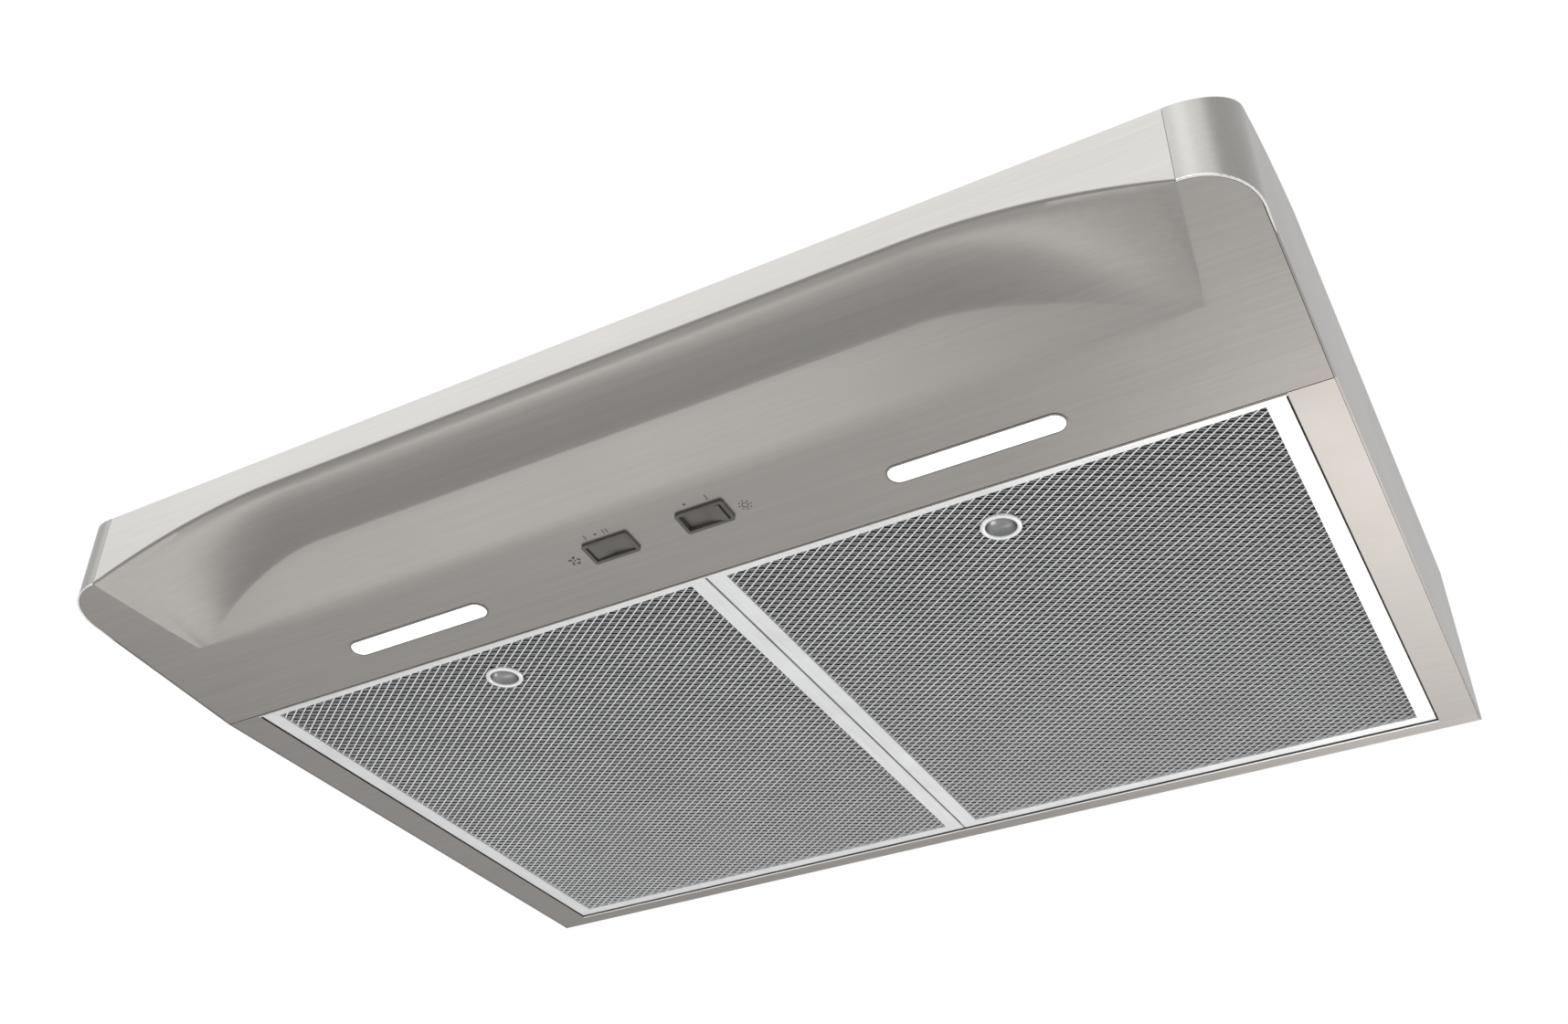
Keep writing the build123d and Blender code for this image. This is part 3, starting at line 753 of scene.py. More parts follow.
@dataclass
class Fascia:
    """Sculpted control fascia: sloping panel, crescent facet, ridge, scoop and arched front strip."""

    half: float = 346.3
    wing_half: float = 378.0
    facet_y: float = -284.0
    facet_tip: float = 326.0
    fold_tip: float = 335.0
    ridge_y: float = -329.0
    ridge_lift: float = 13.4
    ridge_start: float = 200.0
    arch_lift: float = 27.4
    arch_start: float = 205.0
    top_z: float = -58.7
    sheet: float = 1.2
    columns: int = 172
    wing_columns: int = 12
    rim: float = 7.0
    rim_lift: float = 0.9
    lamp_window: Point = (104.6, 13.2)
    switch_window: Point = (29.4, 15.4)
    tool_depth: float = 16.0

    def fade(self, x: float) -> float:
        """Share of the ridge that has died away at a distance x from the centre."""
        return min(1.0, max(0.0, (abs(x) - self.ridge_start) / (self.facet_tip - self.ridge_start))) ** 1.7

    def arch(self, x: float) -> float:
        """Share of the arch that has come down at a distance x from the centre."""
        return min(1.0, max(0.0, (abs(x) - self.arch_start) / (self.half - self.arch_start))) ** 2

    @staticmethod
    def bend(start: Point, corner: Point, end: Point, steps: int) -> list[Point]:
        """Round a corner with a quadratic curve.

        Args:
            start: Point where the curve leaves the first line.
            corner: The sharp corner.
            end: Point where the curve joins the second line.
            steps: Number of points.

        Returns:
            The points, both ends among them.
        """
        points = []
        for i in range(steps):
            t = i / (steps - 1)
            a, b, c = (1 - t) ** 2, 2 * t * (1 - t), t * t
            points.append(tuple(a * p + b * q + c * r for p, q, r in zip(start, corner, end)))
        return points

    def outline(self, x: float) -> list[Point]:
        """Outer line of the fascia at a distance x from the centre, from the crease to the top.

        Args:
            x: Distance from the centre line, in millimetres.

        Returns:
            Depth and height of each point, the same number at every x.
        """
        fade, arch = self.fade(x), self.arch(x)
        beyond = max(0.0, (abs(x) - self.fold_tip) / (self.half - self.fold_tip))
        low_z = PANEL.height(PANEL.front_y) + self.arch_lift * (1 - arch)
        ridge_y = self.ridge_y + (self.facet_y - self.ridge_y - 0.6) * fade
        ridge_y += (PANEL.front_y + 2.0 - ridge_y) * beyond
        ridge_z = PANEL.height(self.facet_y) + self.ridge_lift * (1 - fade) + 0.1
        if beyond > 0:
            ridge_z = PANEL.height(ridge_y)
        facet_z = PANEL.height(self.facet_y)
        steep = 1 - fade
        rows = []
        soft = 1.5 + 7.0 * steep
        hard = 0.4 + 1.6 * steep
        knee = (self.facet_y + soft, PANEL.height(self.facet_y + soft))
        span_y, span_z = ridge_y - self.facet_y, ridge_z - facet_z
        reach = math.hypot(span_y, span_z)
        into = min(0.4, soft / max(reach, 1e-6))
        out = max(0.6, 1 - hard / max(reach, 1e-6))
        before = (self.facet_y + span_y * into, facet_z + span_z * into)
        near = (self.facet_y + span_y * out, facet_z + span_z * out)
        start = PANEL.crease_y - PANEL.seam
        for i in range(12):
            y = start + (knee[0] - start) * i / 12
            rows.append((y, PANEL.height(y)))
        rows += self.bend(knee, (self.facet_y, facet_z), before, 8)
        for i in range(1, 6):
            rows.append(tuple(p + (q - p) * i / 6 for p, q in zip(before, near)))
        run, rise = PANEL.front_y - ridge_y, low_z - ridge_z
        hollow = (1 - arch) * (1 - beyond)

        def scoop(t: float) -> Point:
            """Place on the scoop, from the ridge at 0 to the front edge at 1."""
            curve = 1 - (1 - t) ** 1.9
            lift = t + (curve - t) * hollow
            left = abs(run) * (1 - t)
            lip = self.rim_lift * hollow * max(0.0, 1 - left / self.rim)
            return (ridge_y + run * t, ridge_z + rise * lift - lip)

        leave = min(0.12, 2.2 * (hard + 0.2) / max(abs(run), 4.0))
        rows += self.bend(near, (ridge_y, ridge_z), scoop(leave), 7)
        edge = 1.6
        last = 1 - min(0.4, edge / max(abs(run), 3.0))
        for i in range(1, 16):
            rows.append(scoop(leave + (last - leave) * i / 16))
        rows += self.bend(scoop(last), (PANEL.front_y, low_z), (PANEL.front_y, low_z + edge), 6)
        for i in range(1, 6):
            rows.append((PANEL.front_y, low_z + edge + (self.top_z - low_z - edge) * i / 5))
        return rows

    def sheet_grid(self, columns: int, rows: int, place: Callable[[int, int], Vector]) -> bpy.types.Object:
        """Start from a grid and lead each of its points to its place.

        Args:
            columns: Number of steps across.
            rows: Number of steps along.
            place: Rule from a column and row to a point, in millimetres.

        Returns:
            The shaped sheet.
        """
        Bench.clear()
        bpy.ops.mesh.primitive_grid_add(x_subdivisions=columns, y_subdivisions=rows, size=1)
        piece = bpy.context.object
        spots = [(round((v.co.x + 0.5) * columns), round((v.co.y + 0.5) * rows)) for v in piece.data.vertices]
        for vertex, (i, j) in zip(piece.data.vertices, spots):
            vertex.co = place(i, j) * MM
        piece.data.update()
        return piece

    def body_sheet(self) -> bpy.types.Object:
        """Shape the sculpted middle between the two seams."""
        xs = [self.half * (2 * i / self.columns - 1) for i in range(self.columns + 1)]
        lines = [self.outline(x) for x in xs]
        rows = len(lines[0]) - 1
        return self.sheet_grid(self.columns, rows, lambda i, j: Vector((xs[i], *lines[i][j])))

    def wing_sheet(self, side: Side) -> bpy.types.Object:
        """Shape the plain corner under the rounded end of one side."""
        rows = 14

        def place(i: int, j: int) -> Vector:
            """Point on the wing."""
            turn = math.sin(math.pi / 2 * i / self.wing_columns)
            x = self.half + (self.wing_half - self.half) * turn
            reach = min(1.0, max(0.0, (x - PANEL.corner_x) / PANEL.corner_r))
            front = PANEL.corner_y - PANEL.corner_r * math.sqrt(max(0.0, 1 - reach * reach))
            start = PANEL.crease_y - PANEL.seam
            y = start + (front - start) * j / rows
            return Vector((side.value * x, y, PANEL.height(y)))

        return self.sheet_grid(self.wing_columns, rows, place)

    def cutter(
        self, length: float, width: float, x: float, along: float, round_ends: bool
    ) -> bpy.types.Object:
        """Make a tool for one window in the panel.

        Args:
            length: Size across the hood.
            width: Size front to back.
            x: Distance from the centre line.
            along: Distance forward of the crease.
            round_ends: True for a stadium, False for a rectangle.

        Returns:
            The tool, in its place.
        """
        if round_ends:
            Bench.clear()
            radius, depth = width / 2 * MM, self.tool_depth * MM
            bpy.ops.mesh.primitive_cylinder_add(vertices=48, radius=radius, depth=depth)
            tool = bpy.context.object
            Bench.settle(tool)
            slide = (length - width) / 2
            Bench.reshape(tool, lambda p: Vector((p.x + math.copysign(slide, p.x), p.y, p.z)))
        else:
            high = (length / 2, width / 2, self.tool_depth / 2)
            tool = Bench.block([-v for v in high], high)
        PANEL.lay(tool, x, along)
        Bench.merge(tool)
        return tool

    def build(self) -> None:
        """Build the fascia sheet with its windows."""
        wings = [self.wing_sheet(side) for side in Side]
        sheets = [self.body_sheet(), *wings]
        for piece in sheets:
            Bench.merge(piece, 0.02)
            low = sum(face.normal.z * face.area for face in piece.data.polygons)
            if low > 0:
                Bench.pick(piece, lambda face: True)
                bpy.ops.mesh.flip_normals()
                Bench.clear()
            Bench.modify(piece, "SOLIDIFY", thickness=self.sheet * MM, offset=-1.0)
        fascia = sheets[0]
        for side in Side:
            x = side.value * PANEL.lamp_x
            Bench.open_with(fascia, self.cutter(*self.lamp_window, x, PANEL.lamp_along, True))
        for x in (PANEL.fan_x, PANEL.light_x):
            Bench.open_with(fascia, self.cutter(*self.switch_window, x, PANEL.switch_along, False))
        Bench.finish(fascia, "fascia_sheet", "hood", "brushed", STEEL, 24.0)
        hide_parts("control_fascia")
        for side, wing in zip(Side, wings):
            Bench.finish(wing, f"fascia_corner_{side.word}", "hood", "brushed", STEEL, 24.0)


@dataclass
class OpeningHem:
    """Folded hem round the filter opening, with the lips of the two corners, painted pale as a painted
    highlight on their rolled edges, and dark strips of painted shadow in the side gaps.
    """

    half: float = 353.5
    front: float = -205.6
    rear: float = 186.3
    front_w: float = 1.3
    rear_w: float = 1.3
    drop: float = 0.6
    lip_r: float = 0.6
    lip_run: float = 26.0
    inset: float = 0.55

    def fold(self, near_y: float, far_y: float) -> bpy.types.Object:
        """Shape one folded edge of the opening: a strip with a rounded nose, closed at its ends.

        Args:
            near_y: Front of the fold.
            far_y: Rear of the fold.

        Returns:
            The fold, in place.
        """
        low = (-self.half, near_y, PANEL.bottom_z - self.drop)
        piece = Bench.block(low, (self.half, far_y, PANEL.bottom_z + 0.2))
        Bench.soften(piece, self.drop * 0.6, 4)
        return piece

    def shadow_strip(self, side: Side) -> bpy.types.Object:
        """Shape a dark rubber strip down one side of the opening, a painted shadow that darkens the gap
        between the filter rail and the edge of the opening.
        """
        inner, outer = sorted((side.value * (self.half - 1.05), side.value * (self.half - 0.05)))
        low = (inner, self.front + 1.0, PANEL.bottom_z + 0.9)
        piece = Bench.block(low, (outer, self.rear - 9.0, PANEL.bottom_z + 6.0))
        Bench.soften(piece, 0.3, 2)
        return piece

    def corner_lip(self, side: Side) -> bpy.types.Object:
        """Spin a thin rolled lip round one front corner and run it back along the side; its pale finish is a
        painted highlight of the rolled edge.

        Args:
            side: Which corner.

        Returns:
            The lip, in place.
        """
        Bench.clear()
        corner = Vector((PANEL.corner_x, PANEL.corner_y, 0.0))
        start = (corner.x * MM, PANEL.front_y * MM, 0)
        upright = (0, math.pi / 2, 0)
        bpy.ops.mesh.primitive_circle_add(
            vertices=12, radius=self.lip_r * MM, location=start, rotation=upright, fill_type="NGON"
        )
        piece = bpy.context.object
        Bench.settle(piece)
        Bench.edit(piece)
        bpy.ops.mesh.spin(
            steps=16, angle=-math.pi / 2, center=corner * MM, axis=(0, 0, 1), use_auto_merge=False
        )
        Bench.pull((0, self.lip_run, 0))
        Bench.clear()

        def settle(p: Vector) -> Vector:
            """Drop a point onto the slope of the bottom edge, just inside the outer skin."""
            inward = (p - corner).xy.normalized() * self.inset if p.y < corner.y else Vector((self.inset, 0))
            taper = 1 - max(0.0, (p.y - corner.y) / self.lip_run)
            lift = 0.25 + 0.5 * (1 - taper)
            return Vector((side.value * (p.x - inward.x), p.y - inward.y, PANEL.height(p.y) + lift + p.z))

        Bench.reshape(piece, settle)
        Bench.merge(piece, 0.01)
        return piece

    def build(self) -> None:
        """Build the hem, the painted-shadow strips and both corner lips; hem and lips wear the painted
        highlight.
        """
        front = self.fold(self.front - self.front_w + 0.1, self.front - 0.1)
        Bench.finish(front, "opening_fold_front", "hood", "brushed", HEM_STEEL_PAINTED_HIGHLIGHT, 40.0)
        rear = self.fold(self.rear + 0.1, self.rear + self.rear_w)
        Bench.finish(rear, "opening_fold_rear", "hood", "brushed", HEM_STEEL_PAINTED_HIGHLIGHT, 40.0)
        for side in Side:
            # The dark strips are painted shadow in the gaps beside the filters.
            Bench.finish(self.shadow_strip(side), f"opening_seal_{side.word}", "hood", "rubber", RUBBER, 40.0)
            Bench.finish(self.corner_lip(side), f"corner_lip_{side.word}", "hood", "brushed", HEM_STEEL_PAINTED_HIGHLIGHT, 60.0)


@dataclass
class FilterPad:
    """Expanded aluminium faces of one filter, with the foil pad between them and its finger cup."""

    side: Side
    inner: float = 0.8
    outer: float = 352.2
    front: float = -204.6
    rear: float = 185.0
    side_rail: float = 11.4
    front_rail: float = 4.0
    rear_rail: float = 8.0
    base_z: float = -121.4
    overlap: float = 1.0
    strand_turn: float = -36.0
    rung_turn: float = 30.0
    pitch: float = 4.8
    strand_w: float = 1.05
    rung_w: float = 1.05
    strand_t: float = 0.45
    rung_t: float = 0.35
    strand_roll: float = 8.0
    rung_roll: float = -16.0
    lift: float = 0.45
    pad_low: float = 2.6
    pad_high: float = 6.6
    lower_layer: float = 1.35
    upper_layer: float = 7.6
    cup: Point = (176.5, -167.0)
    cup_r: float = 12.4

    @property
    def window(self) -> tuple[float, float, float, float]:
        """Lowest and highest X and Y of the open window, reaching under the rails."""
        near, far = self.inner + self.side_rail - self.overlap, self.outer - self.side_rail + self.overlap
        low, high = sorted((self.side.value * near, self.side.value * far))
        front = self.front + self.front_rail - self.overlap
        return low, high, front, self.rear - self.rear_rail + self.overlap

    def steps(self) -> tuple[Vector, Vector]:
        """Steps from one cell of the weave to the next, along its strands and along its rungs."""
        strand, rung = math.radians(self.strand_turn), math.radians(self.rung_turn)
        spread = math.sin(rung - strand)
        along = Vector((math.cos(strand), math.sin(strand), 0)) * (self.pitch / spread)
        across = Vector((math.cos(rung), math.sin(rung), 0)) * (self.pitch / spread)
        return along, across

    def bar(
        self, length: float, width: float, thick: float, turn: float, roll: float, lift: float
    ) -> bpy.types.Object:
        """Shape one bar of a cell, open at both ends so that it runs into the next.

        Args:
            length: Length along the bar.
            width: Width of its face.
            thick: Thickness of the foil.
            turn: Direction in plan, in degrees.
            roll: Twist of its face, in degrees.
            lift: Height of its middle.

        Returns:
            The bar.
        """
        Bench.clear()
        lying = (0, math.pi / 2, 0)
        bpy.ops.mesh.primitive_cylinder_add(
            vertices=3, radius=1.0, depth=length * MM, end_fill_type="NOTHING", rotation=lying
        )
        piece = bpy.context.object
        Bench.settle(piece)
        wide = max(abs(v.co.y) for v in piece.data.vertices)
        high = max(abs(v.co.z) for v in piece.data.vertices)
        Bench.reshape(
            piece, lambda p: Vector((p.x, p.y * MM / wide * width / 2, p.z * MM / high * thick * 0.7))
        )
        tilt = Matrix.Rotation(math.radians(turn), 3, "Z") @ Matrix.Rotation(math.radians(roll), 3, "X")
        Bench.reshape(piece, lambda p: tilt @ p + Vector((0, 0, lift)))
        return piece

    def strands(self, outward: int) -> bpy.types.Object:
        """Shape the raised strand of one cell; outward is -1 where the face looks down."""
        along, _ = self.steps()
        roll, lift = self.strand_roll * outward, self.lift * outward
        return self.bar(along.length, self.strand_w, self.strand_t, self.strand_turn, roll, lift)

    def rungs(self, outward: int) -> bpy.types.Object:
        """Shape the near and the deep rung of one cell; outward is -1 where the face looks down."""
        along, across = self.steps()
        shape = (across.length, self.rung_w, self.rung_t, self.rung_turn, self.rung_roll * outward)
        near = self.bar(*shape, 0.0)
        deep = self.bar(*shape, -self.lift * outward)
        Bench.shift(deep, along / 2)
        return Bench.join([near, deep])

    def spread(self, piece: bpy.types.Object, z: float) -> bpy.types.Object:
        """Repeat one cell over the window and trim it to the rails and the cup.

        Args:
            piece: The bars of one cell, about the origin.
            z: Height of the layer.

        Returns:
            The trimmed layer.
        """
        along, across = self.steps()
        low_x, high_x, low_y, high_y = self.window
        half_x, half_y = (high_x - low_x) / 2, (high_y - low_y) / 2
        det = along.x * across.y - along.y * across.x
        reach_i = math.ceil((abs(across.y) * half_x + abs(across.x) * half_y) / abs(det)) + 1
        reach_j = math.ceil((abs(along.y) * half_x + abs(along.x) * half_y) / abs(det)) + 1
        centre = Vector(((low_x + high_x) / 2, (low_y + high_y) / 2, z))
        Bench.shift(piece, centre - along * reach_i - across * reach_j)
        for step, reach in ((along, reach_i), (across, reach_j)):
            Bench.modify(
                piece, "ARRAY", count=2 * reach + 1, use_relative_offset=False, use_constant_offset=True,
                constant_offset_displace=step * MM,
            )
        for point, normal in (
            ((low_x, 0, 0), (-1, 0, 0)), ((high_x, 0, 0), (1, 0, 0)),
            ((0, low_y, 0), (0, -1, 0)), ((0, high_y, 0), (0, 1, 0)),
        ):
            Bench.cut(piece, point, normal)
        hub = Vector((self.side.value * self.cup[0], self.cup[1], 0)) * MM
        clear = (self.cup_r - 0.8) * MM
        Bench.pick(piece, lambda face: (face.center - hub).xy.length < clear)
        bpy.ops.mesh.delete(type="FACE")
        Bench.clear()
        return piece

    def wool(self) -> bpy.types.Object:
        """Shape the foil pad between the two faces, opened round the cup."""
        low_x, high_x, low_y, high_y = self.window
        low = (low_x, low_y, self.base_z + self.pad_low)
        piece = Bench.block(low, (high_x, high_y, self.base_z + self.pad_high))
        Bench.soften(piece, 0.8)
        Bench.clear()
        hub = (self.side.value * self.cup[0] * MM, self.cup[1] * MM, self.base_z * MM)
        radius = (self.cup_r - 0.9) * MM
        bpy.ops.mesh.primitive_cylinder_add(vertices=40, radius=radius, depth=40 * MM, location=hub)
        tool = bpy.context.object
        Bench.settle(tool)
        Bench.open_with(piece, tool)
        return piece

    def turned(self, profile: Sequence[Point]) -> bpy.types.Object:
        """Spin a profile round the cup's centre.

        Args:
            profile: Radius and height of each point, from the centre outward.

        Returns:
            The turned shell.
        """
        Bench.clear()
        hub = (self.side.value * self.cup[0], self.cup[1])
        bpy.ops.mesh.primitive_plane_add(size=MM)
        piece = bpy.context.object
        Bench.edit(piece)
        bpy.ops.mesh.merge(type="CENTER")
        bpy.ops.mesh.select_all(action="SELECT")
        for (near_r, near_z), (far_r, far_z) in zip(profile, profile[1:]):
            step = ((far_r - near_r) * MM, 0, (far_z - near_z) * MM)
            bpy.ops.mesh.extrude_vertices_move(TRANSFORM_OT_translate={"value": step})
        bpy.ops.mesh.select_all(action="SELECT")
        bpy.ops.transform.translate(value=(profile[0][0] * MM, 0, profile[0][1] * MM))
        bpy.ops.mesh.spin(steps=64, angle=2 * math.pi, center=(0, 0, 0), axis=(0, 0, 1), use_auto_merge=True)
        Bench.clear()
        Bench.shift(piece, (*hub, 0))
        Bench.merge(piece, 0.02)
        return piece

    def dish(self) -> bpy.types.Object:
        """Turn the cup's dish, closed above; it wears the painted shade of the cup's hollow."""
        z = self.base_z
        return self.turned([
            (0, z + 5.2), (3.0, z + 5.1), (5.6, z + 4.6), (7.6, z + 3.4), (8.8, z + 1.6), (9.4, z + 0.4),
            (10.4, z + 0.4), (10.4, z + 6.4), (9.4, z + 7.4), (0, z + 7.6),
        ])

    def rim(self) -> bpy.types.Object:
        """Turn the bright rolled rim round the dish."""
        z = self.base_z
        return self.turned([
            (9.3, z + 0.9), (9.35, z + 0.1), (9.7, z - 0.35), (10.4, z - 0.55), (11.4, z - 0.5),
            (12.1, z - 0.15), (12.4, z + 0.5), (12.3, z + 1.3), (9.6, z + 1.3), (9.3, z + 0.9),
        ])

    def build(self) -> None:
        """Build both faces, the pad and the cup of this filter."""
        word, body = self.side.word, f"filter_{self.side.word}"
        faces = (("lower", self.lower_layer, -1), ("upper", self.upper_layer, 1))
        for face, lift, outward in faces:
            z = self.base_z + lift
            strands = self.spread(self.strands(outward), z)
            Bench.finish(strands, f"strands_{face}_{word}", body, "filter_mesh", STRAND, 20.0)
            rungs = self.spread(self.rungs(outward), z)
            Bench.finish(rungs, f"rungs_{face}_{word}", body, "filter_mesh", RUNG, 20.0)
        pad = Bench.finish(self.wool(), f"foil_pad_{word}", body, "filter_mesh", WOOL_PAINTED_SHADE, 30.0)
        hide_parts(f"filter_mesh_{word}")
        dish = Bench.finish(self.dish(), f"finger_dish_{word}", body, "cup_steel", DISH_PAINTED_SHADE, 50.0)
        Bench.finish(self.rim(), f"finger_rim_{word}", body, "cup_steel", CUP, 60.0)
        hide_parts(f"filter_cup_{word}")


@dataclass
class LampRim:
    """Thin moulded rim round one lamp diffuser, a darker copy of the panel steel as painted shade for the
    dark line at the lens gap.
    """

    side: Side
    length: float = 107.0
    width: float = 15.6
    wall: float = 1.3
    proud: float = 0.45

    def build(self) -> None:
        """Shape the rim from a disc: drawn out to a stadium, inset, opened, raised and rounded."""
        Bench.clear()
        bpy.ops.mesh.primitive_circle_add(vertices=64, radius=self.width / 2 * MM, fill_type="NGON")
        piece = bpy.context.object
        slide = (self.length - self.width) / 2
        Bench.reshape(piece, lambda p: Vector((p.x + math.copysign(slide, p.x), p.y, p.z)))
        Bench.pick(piece, lambda face: True)
        bpy.ops.mesh.inset(thickness=self.wall * MM)
        bpy.ops.mesh.delete(type="FACE")
        bpy.ops.mesh.select_all(action="SELECT")
        Bench.pull((0, 0, -self.proud))
        Bench.clear()
        Bench.merge(piece, 0.001)
        Bench.soften(piece, 0.18, 2, 50.0)
        PANEL.lay(piece, self.side.value * PANEL.lamp_x, PANEL.lamp_along)
        Bench.merge(piece, 0.001)
        Bench.finish(piece, f"lamp_rim_{self.side.word}", "hood", "brushed", LENS_RIM_PAINTED_SHADE, 40.0)


@dataclass
class Rocker:
    """Dished rocker key of one switch, on the pin it tilts about."""

    name: str
    x: float
    rest_tilt: float
    half_l: float = 13.2
    half_w: float = 6.7
    pin_depth: float = 4.0
    end_top: float = 4.5
    mid_top: float = 3.3
    skirt: float = -4.6

    def build(self) -> None:
        """Shape the key from a block: divided, dished to its middle, creased at the front and rounded."""
        low = (-self.half_l, -self.half_w, -self.end_top)
        piece = Bench.block(low, (self.half_l, self.half_w, -self.skirt))
        Bench.edit(piece)
        bpy.ops.mesh.subdivide(number_cuts=15)
        Bench.clear()
        depth = self.end_top - self.mid_top

        def dish(p: Vector) -> Vector:
            """Sink the key's face towards its middle, with a fold that opens to the front."""
            share = (-self.skirt - p.z) / (self.end_top - self.skirt)
            along = abs(p.x) / self.half_l
            forward = max(0.0, -p.y / self.half_w)
            fold = max(0.0, 1 - along / (0.12 + 0.30 * (1 - forward))) * forward
            sink = depth * (1 - along) ** 1.1 + 0.8 * fold
            return Vector((p.x, p.y, p.z + sink * min(1.0, max(0.0, share))))

        Bench.reshape(piece, dish)
        Bench.soften(piece, 0.35, 2, 50.0)
        lean = Matrix.Rotation(math.radians(self.rest_tilt), 3, "Y")
        Bench.reshape(piece, lambda p: lean @ p + Vector((0, 0, self.pin_depth)))
        PANEL.lay(piece, self.x, PANEL.switch_along)
        Bench.merge(piece, 0.001)
        Bench.finish(piece, f"{self.name}_key", f"{self.name}_rocker", "switch_plastic", ROCKER, 35.0)
        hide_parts(f"{self.name}_rocker")


@dataclass
class PanelMarks:
    """Plain printed marks beside the switches: strokes, dots, a fan and a lamp sign."""

    thick: float = 0.05
    row: float = 61.2
    signs: float = 45.6
    line: Point = (4.0, 0.7)
    fan_low_x: float = -44.5
    fan_dot_x: float = -37.4
    fan_high_x: Point = (-31.6, -29.2)
    light_dot_x: float = 23.8
    light_on_x: float = 38.2
    fan_sign_x: float = -61.8
    lamp_sign_x: float = 55.2
    parts: list[bpy.types.Object] = field(default_factory=list)

    def stroke(self, x: float, along: float, length: float, width: float, turn: float = 0.0) -> None:
        """Lay one printed stroke.

        Args:
            x: Middle of the stroke across the hood.
            along: Middle of the stroke forward of the crease.
            length: Length of the stroke.
            width: Width of the stroke.
            turn: Direction of its length from straight forward, in degrees.
        """
        piece = Bench.block((-width / 2, -length / 2, -self.thick), (width / 2, length / 2, 0.0))
        Bench.soften(piece, width * 0.22, 2)
        spin = Matrix.Rotation(math.radians(turn), 3, "Z")
        Bench.reshape(piece, lambda p: spin @ p)
        PANEL.lay(piece, x, along)
        self.parts.append(piece)

    def disc(self, x: float, along: float, radius: float, hole: float = 0.0) -> None:
        """Lay one printed dot or ring.

        Args:
            x: Centre across the hood.
            along: Centre forward of the crease.
            radius: Outer radius.
            hole: Inner radius, 0 for a full dot.
        """
        Bench.clear()
        bpy.ops.mesh.primitive_circle_add(vertices=28, radius=radius * MM, fill_type="NGON")
        piece = bpy.context.object
        Bench.pick(piece, lambda face: True)
        if hole > 0:
            bpy.ops.mesh.inset(thickness=(radius - hole) * MM)
            bpy.ops.mesh.delete(type="FACE")
            bpy.ops.mesh.select_all(action="SELECT")
        Bench.pull((0, 0, -self.thick))
        Bench.clear()
        PANEL.lay(piece, x, along)
        self.parts.append(piece)

    def fan_sign(self, x: float, along: float, blades: int = 5) -> None:
        """Lay a fan sign of short blades round a hub."""
        self.disc(x, along, 0.7)
        for i in range(blades):
            turn = 360 / blades * i + 12
            angle = math.radians(turn)
            self.stroke(x + 2.9 * math.sin(angle), along + 2.9 * math.cos(angle), 2.4, 1.5, -turn + 52)

    def lamp_sign(self, x: float, along: float, rays: int = 8) -> None:
        """Lay a lamp sign: a ring with rays."""
        self.disc(x, along, 2.1, 1.5)
        for i in range(rays):
            turn = 360 / rays * i
            angle = math.radians(turn)
            self.stroke(x + 3.6 * math.sin(angle), along + 3.6 * math.cos(angle), 1.4, 0.7, -turn)

    def build(self) -> None:
        """Lay every mark and join them into one printed layer."""
        self.stroke(self.fan_low_x, self.row, *self.line)
        self.disc(self.fan_dot_x, self.row, 0.85)
        for x in self.fan_high_x:
            self.stroke(x, self.row, *self.line)
        self.disc(self.light_dot_x, self.row, 0.9)
        self.stroke(self.light_on_x, self.row, 4.6, 0.75)
        self.fan_sign(self.fan_sign_x, self.signs)
        self.lamp_sign(self.lamp_sign_x, self.signs)
        layer = Bench.join(self.parts)
        Bench.merge(layer, 0.001)
        Bench.finish(layer, "panel_marks", "hood", "switch_plastic", INK, 20.0)


@dataclass(frozen=True)
class SoftBox:
    """One soft box: where it hangs and what it faces in metres, its size, power and colour."""

    name: str
    place: Sequence[float]
    aim: Sequence[float]
    size: Point
    power: float
    colour: Colour

    def hang(self) -> None:
        """Hang the light, unseen by the camera."""
        data = bpy.data.lights.new(self.name, "AREA")
        data.shape = "RECTANGLE"
        data.size, data.size_y = self.size
        data.energy = self.power
        data.color = self.colour
        light = bpy.data.objects.new(self.name, data)
        bpy.context.scene.collection.objects.link(light)
        light.location = self.place
        light.rotation_mode = "QUATERNION"
        facing = Vector(self.aim) - Vector(self.place)
        light.rotation_quaternion = facing.to_track_quat("-Z", "Y")
        light.visible_camera = False


SOFT_BOXES = (
    SoftBox(
        "front_box", place=(-1.1, -3.2, 2.5), aim=(0, -0.3, -0.1),
        size=(6.2, 3.2), power=84.0, colour=(0.94, 1.0, 1.03),
    ),
    SoftBox(
        "right_glow", place=(0.38, 1.55, -1.42), aim=(0.38, 1.35, 0.0),
        size=(0.8, 0.6), power=6.5, colour=(1.0, 0.98, 0.95),
    ),
    SoftBox(
        "right_box", place=(1.5, -2.0, 2.7), aim=(0.3, -0.3, -0.1),
        size=(2.2, 2.0), power=24.0, colour=(0.97, 1.0, 1.0),
    ),
    SoftBox(
        "middle_glow", place=(-0.95, 0.0, -1.42), aim=(-0.95, 0.0, 0.0),
        size=(1.5, 0.45), power=1.9, colour=(1.0, 0.99, 0.98),
    ),
)


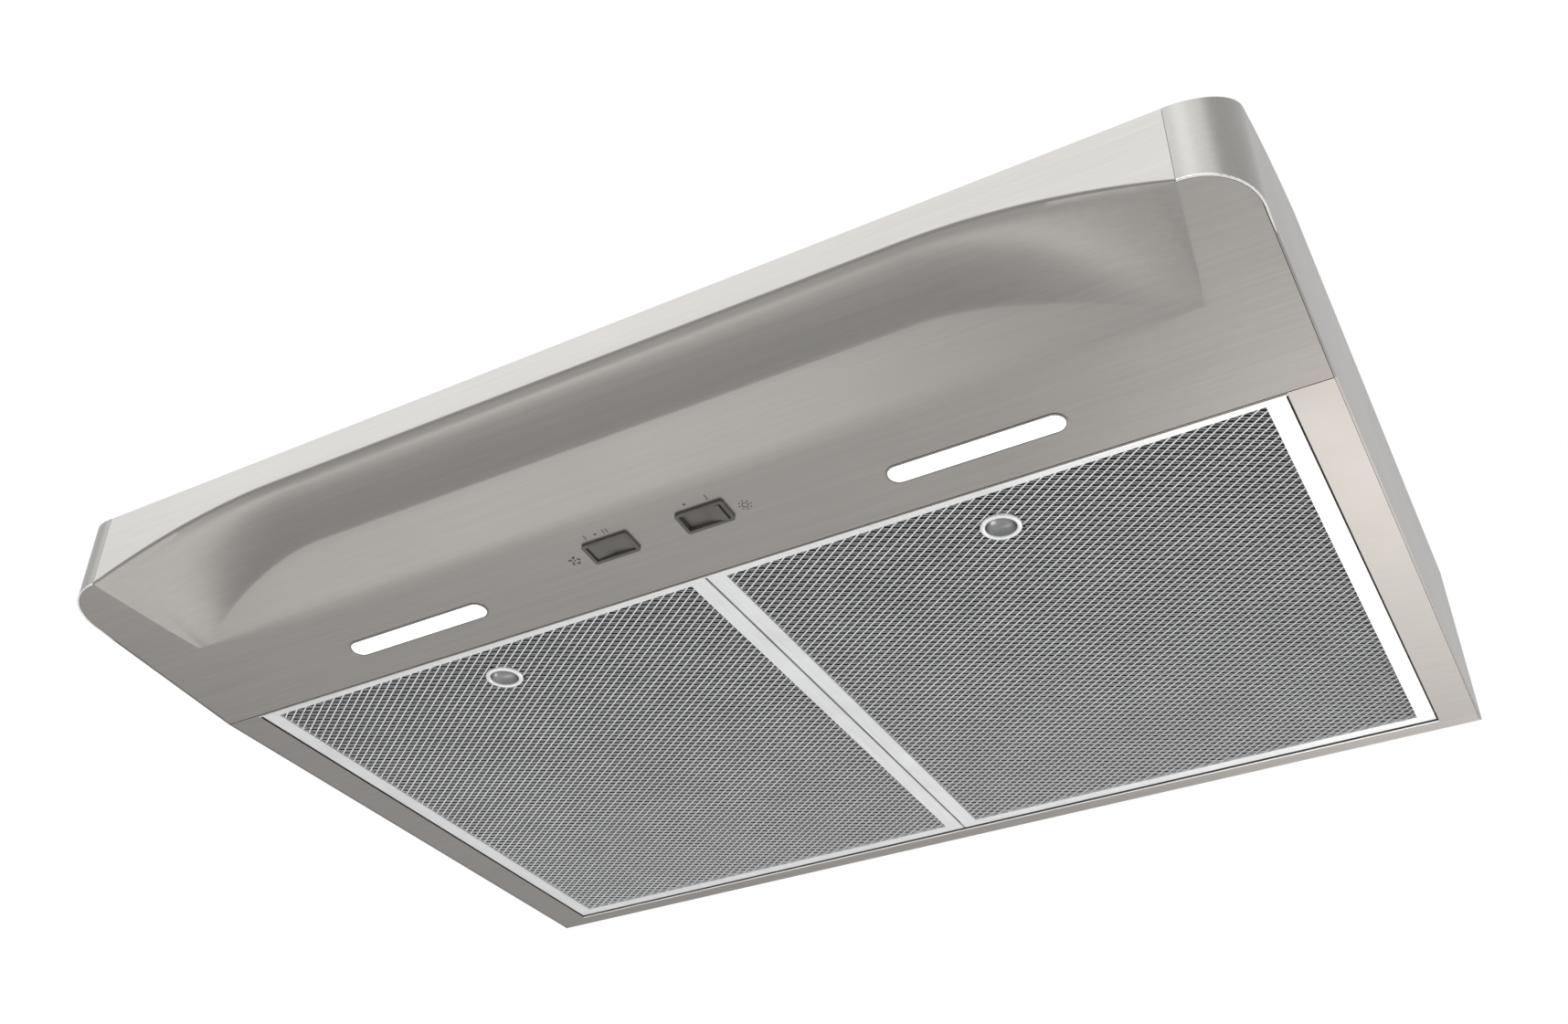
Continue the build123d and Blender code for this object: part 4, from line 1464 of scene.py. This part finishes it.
@dataclass
class Studio:
    """Pale floor, soft lights and the camera."""

    floor_z: float = -1.5
    floor_r: float = 9.0
    lens: float = 38.37
    spot: Sequence[float] = (0.44024, -0.91588, -0.68718)
    yaw: float = -28.507
    pitch: float = 36.368
    roll: float = -0.114

    def camera(self) -> None:
        """Stand the camera below and in front of the hood, looking up at it."""
        data = bpy.data.cameras.new("studio_camera")
        data.sensor_fit = "HORIZONTAL"
        data.sensor_width = 36.0
        data.lens = self.lens
        data.clip_start = 0.01
        data.clip_end = 60.0
        data.dof.use_dof = False
        camera = bpy.data.objects.new("studio_camera", data)
        bpy.context.scene.collection.objects.link(camera)
        yaw, pitch, roll = (math.radians(v) for v in (self.yaw, self.pitch, self.roll))
        ahead = Vector((math.sin(yaw) * math.cos(pitch), math.cos(yaw) * math.cos(pitch), math.sin(pitch)))
        right = Vector((math.cos(yaw), -math.sin(yaw), 0))
        up = right.cross(ahead)
        level = right * math.cos(roll) + up * math.sin(roll)
        above = up * math.cos(roll) - right * math.sin(roll)
        turn = Matrix((level, above, -ahead)).transposed().to_4x4()
        camera.matrix_world = Matrix.Translation(Vector(self.spot)) @ turn
        bpy.context.scene.camera = camera
        bpy.context.scene.view_settings.view_transform = "Standard"
        bpy.context.scene.view_settings.look = "None"

    def world(self) -> None:
        """Surround the hood with an even pale room."""
        world = bpy.data.worlds.new("studio_room")
        bpy.context.scene.world = world
        tree = ShaderTree(world)
        room = tree.make("ShaderNodeBackground", None, {"Color": (1.0, 1.0, 1.0, 1.0), "Strength": 1.0})
        end = tree.make("ShaderNodeOutputWorld")
        tree.links.new(room.outputs[0], end.inputs["Surface"])

    def floor(self) -> None:
        """Lay the floor, a disc divided so that its painted shade can change over it."""
        Bench.clear()
        bpy.ops.mesh.primitive_circle_add(
            vertices=96, radius=self.floor_r, fill_type="NGON", location=(0, 0, self.floor_z)
        )
        piece = bpy.context.object
        Bench.settle(piece)
        Bench.pick(piece, lambda face: True)
        bpy.ops.mesh.inset(thickness=0.4)
        Bench.clear()
        piece.name = "studio_floor_painted_shade"
        piece.data.materials.append(PAINTED_SHADE_FLOOR.material())

    def build(self) -> None:
        """Set up the whole studio."""
        self.camera()
        self.world()
        self.floor()
        for box in SOFT_BOXES:
            box.hang()


@dataclass
class CarriedParts:
    """Finishes of the nodes whose shape stays as it was packed."""

    finishes: dict[str, Finish] = field(default_factory=lambda: {
        "canopy": STEEL, "back_panel": ZINC, "side_panel_left": SIDE_STEEL_PAINTED_SHADE,
        "side_panel_right": SIDE_STEEL_PAINTED_SHADE, "bottom_pan": STEEL, "filter_hanger": SPRING,
        "filter_pivot_pins": PIN, "filter_catches": SPRING, "filter_frame_left": RAIL,
        "filter_frame_right": RAIL, "lamp_lens_left": OPAL, "lamp_lens_right": OPAL,
        "lamp_housing_left": ZINC, "lamp_housing_right": ZINC, "lamp_board_left": BOARD,
        "lamp_board_right": BOARD, "fan_switch_body": BEZEL, "light_switch_body": BEZEL,
        "fan_rocker_pin": PIN, "light_rocker_pin": PIN, "blower_housing": ZINC,
        "blower_wheel": ZINC, "motor_shaft": PIN, "blower_motor": MOTOR,
        "motor_bracket": ZINC, "motor_grommets": RUBBER, "motor_screws": PIN,
        "duct_collar": ZINC, "damper_pin": PIN, "damper_flap": ZINC, "wiring_cover": ZINC,
        "wiring_screws": PIN, "terminal_block": BLOCK, "capacitor": CAN, "lamp_driver": BLOCK,
    })

    def build(self) -> None:
        """Dress every carried-over node."""
        for node, finish in self.finishes.items():
            dress(node, finish)


def main() -> None:
    """Build the studio and every piece in order."""
    logging.basicConfig(level=logging.INFO, format="%(name)s: %(message)s")
    Studio().build()
    CarriedParts().build()
    Fascia().build()
    OpeningHem().build()
    for side in Side:
        FilterPad(side).build()
        LampRim(side).build()
    Rocker("fan", PANEL.fan_x, 0.0).build()
    Rocker("light", PANEL.light_x, 8.0).build()
    PanelMarks().build()


if __name__ == "__main__":
    main()
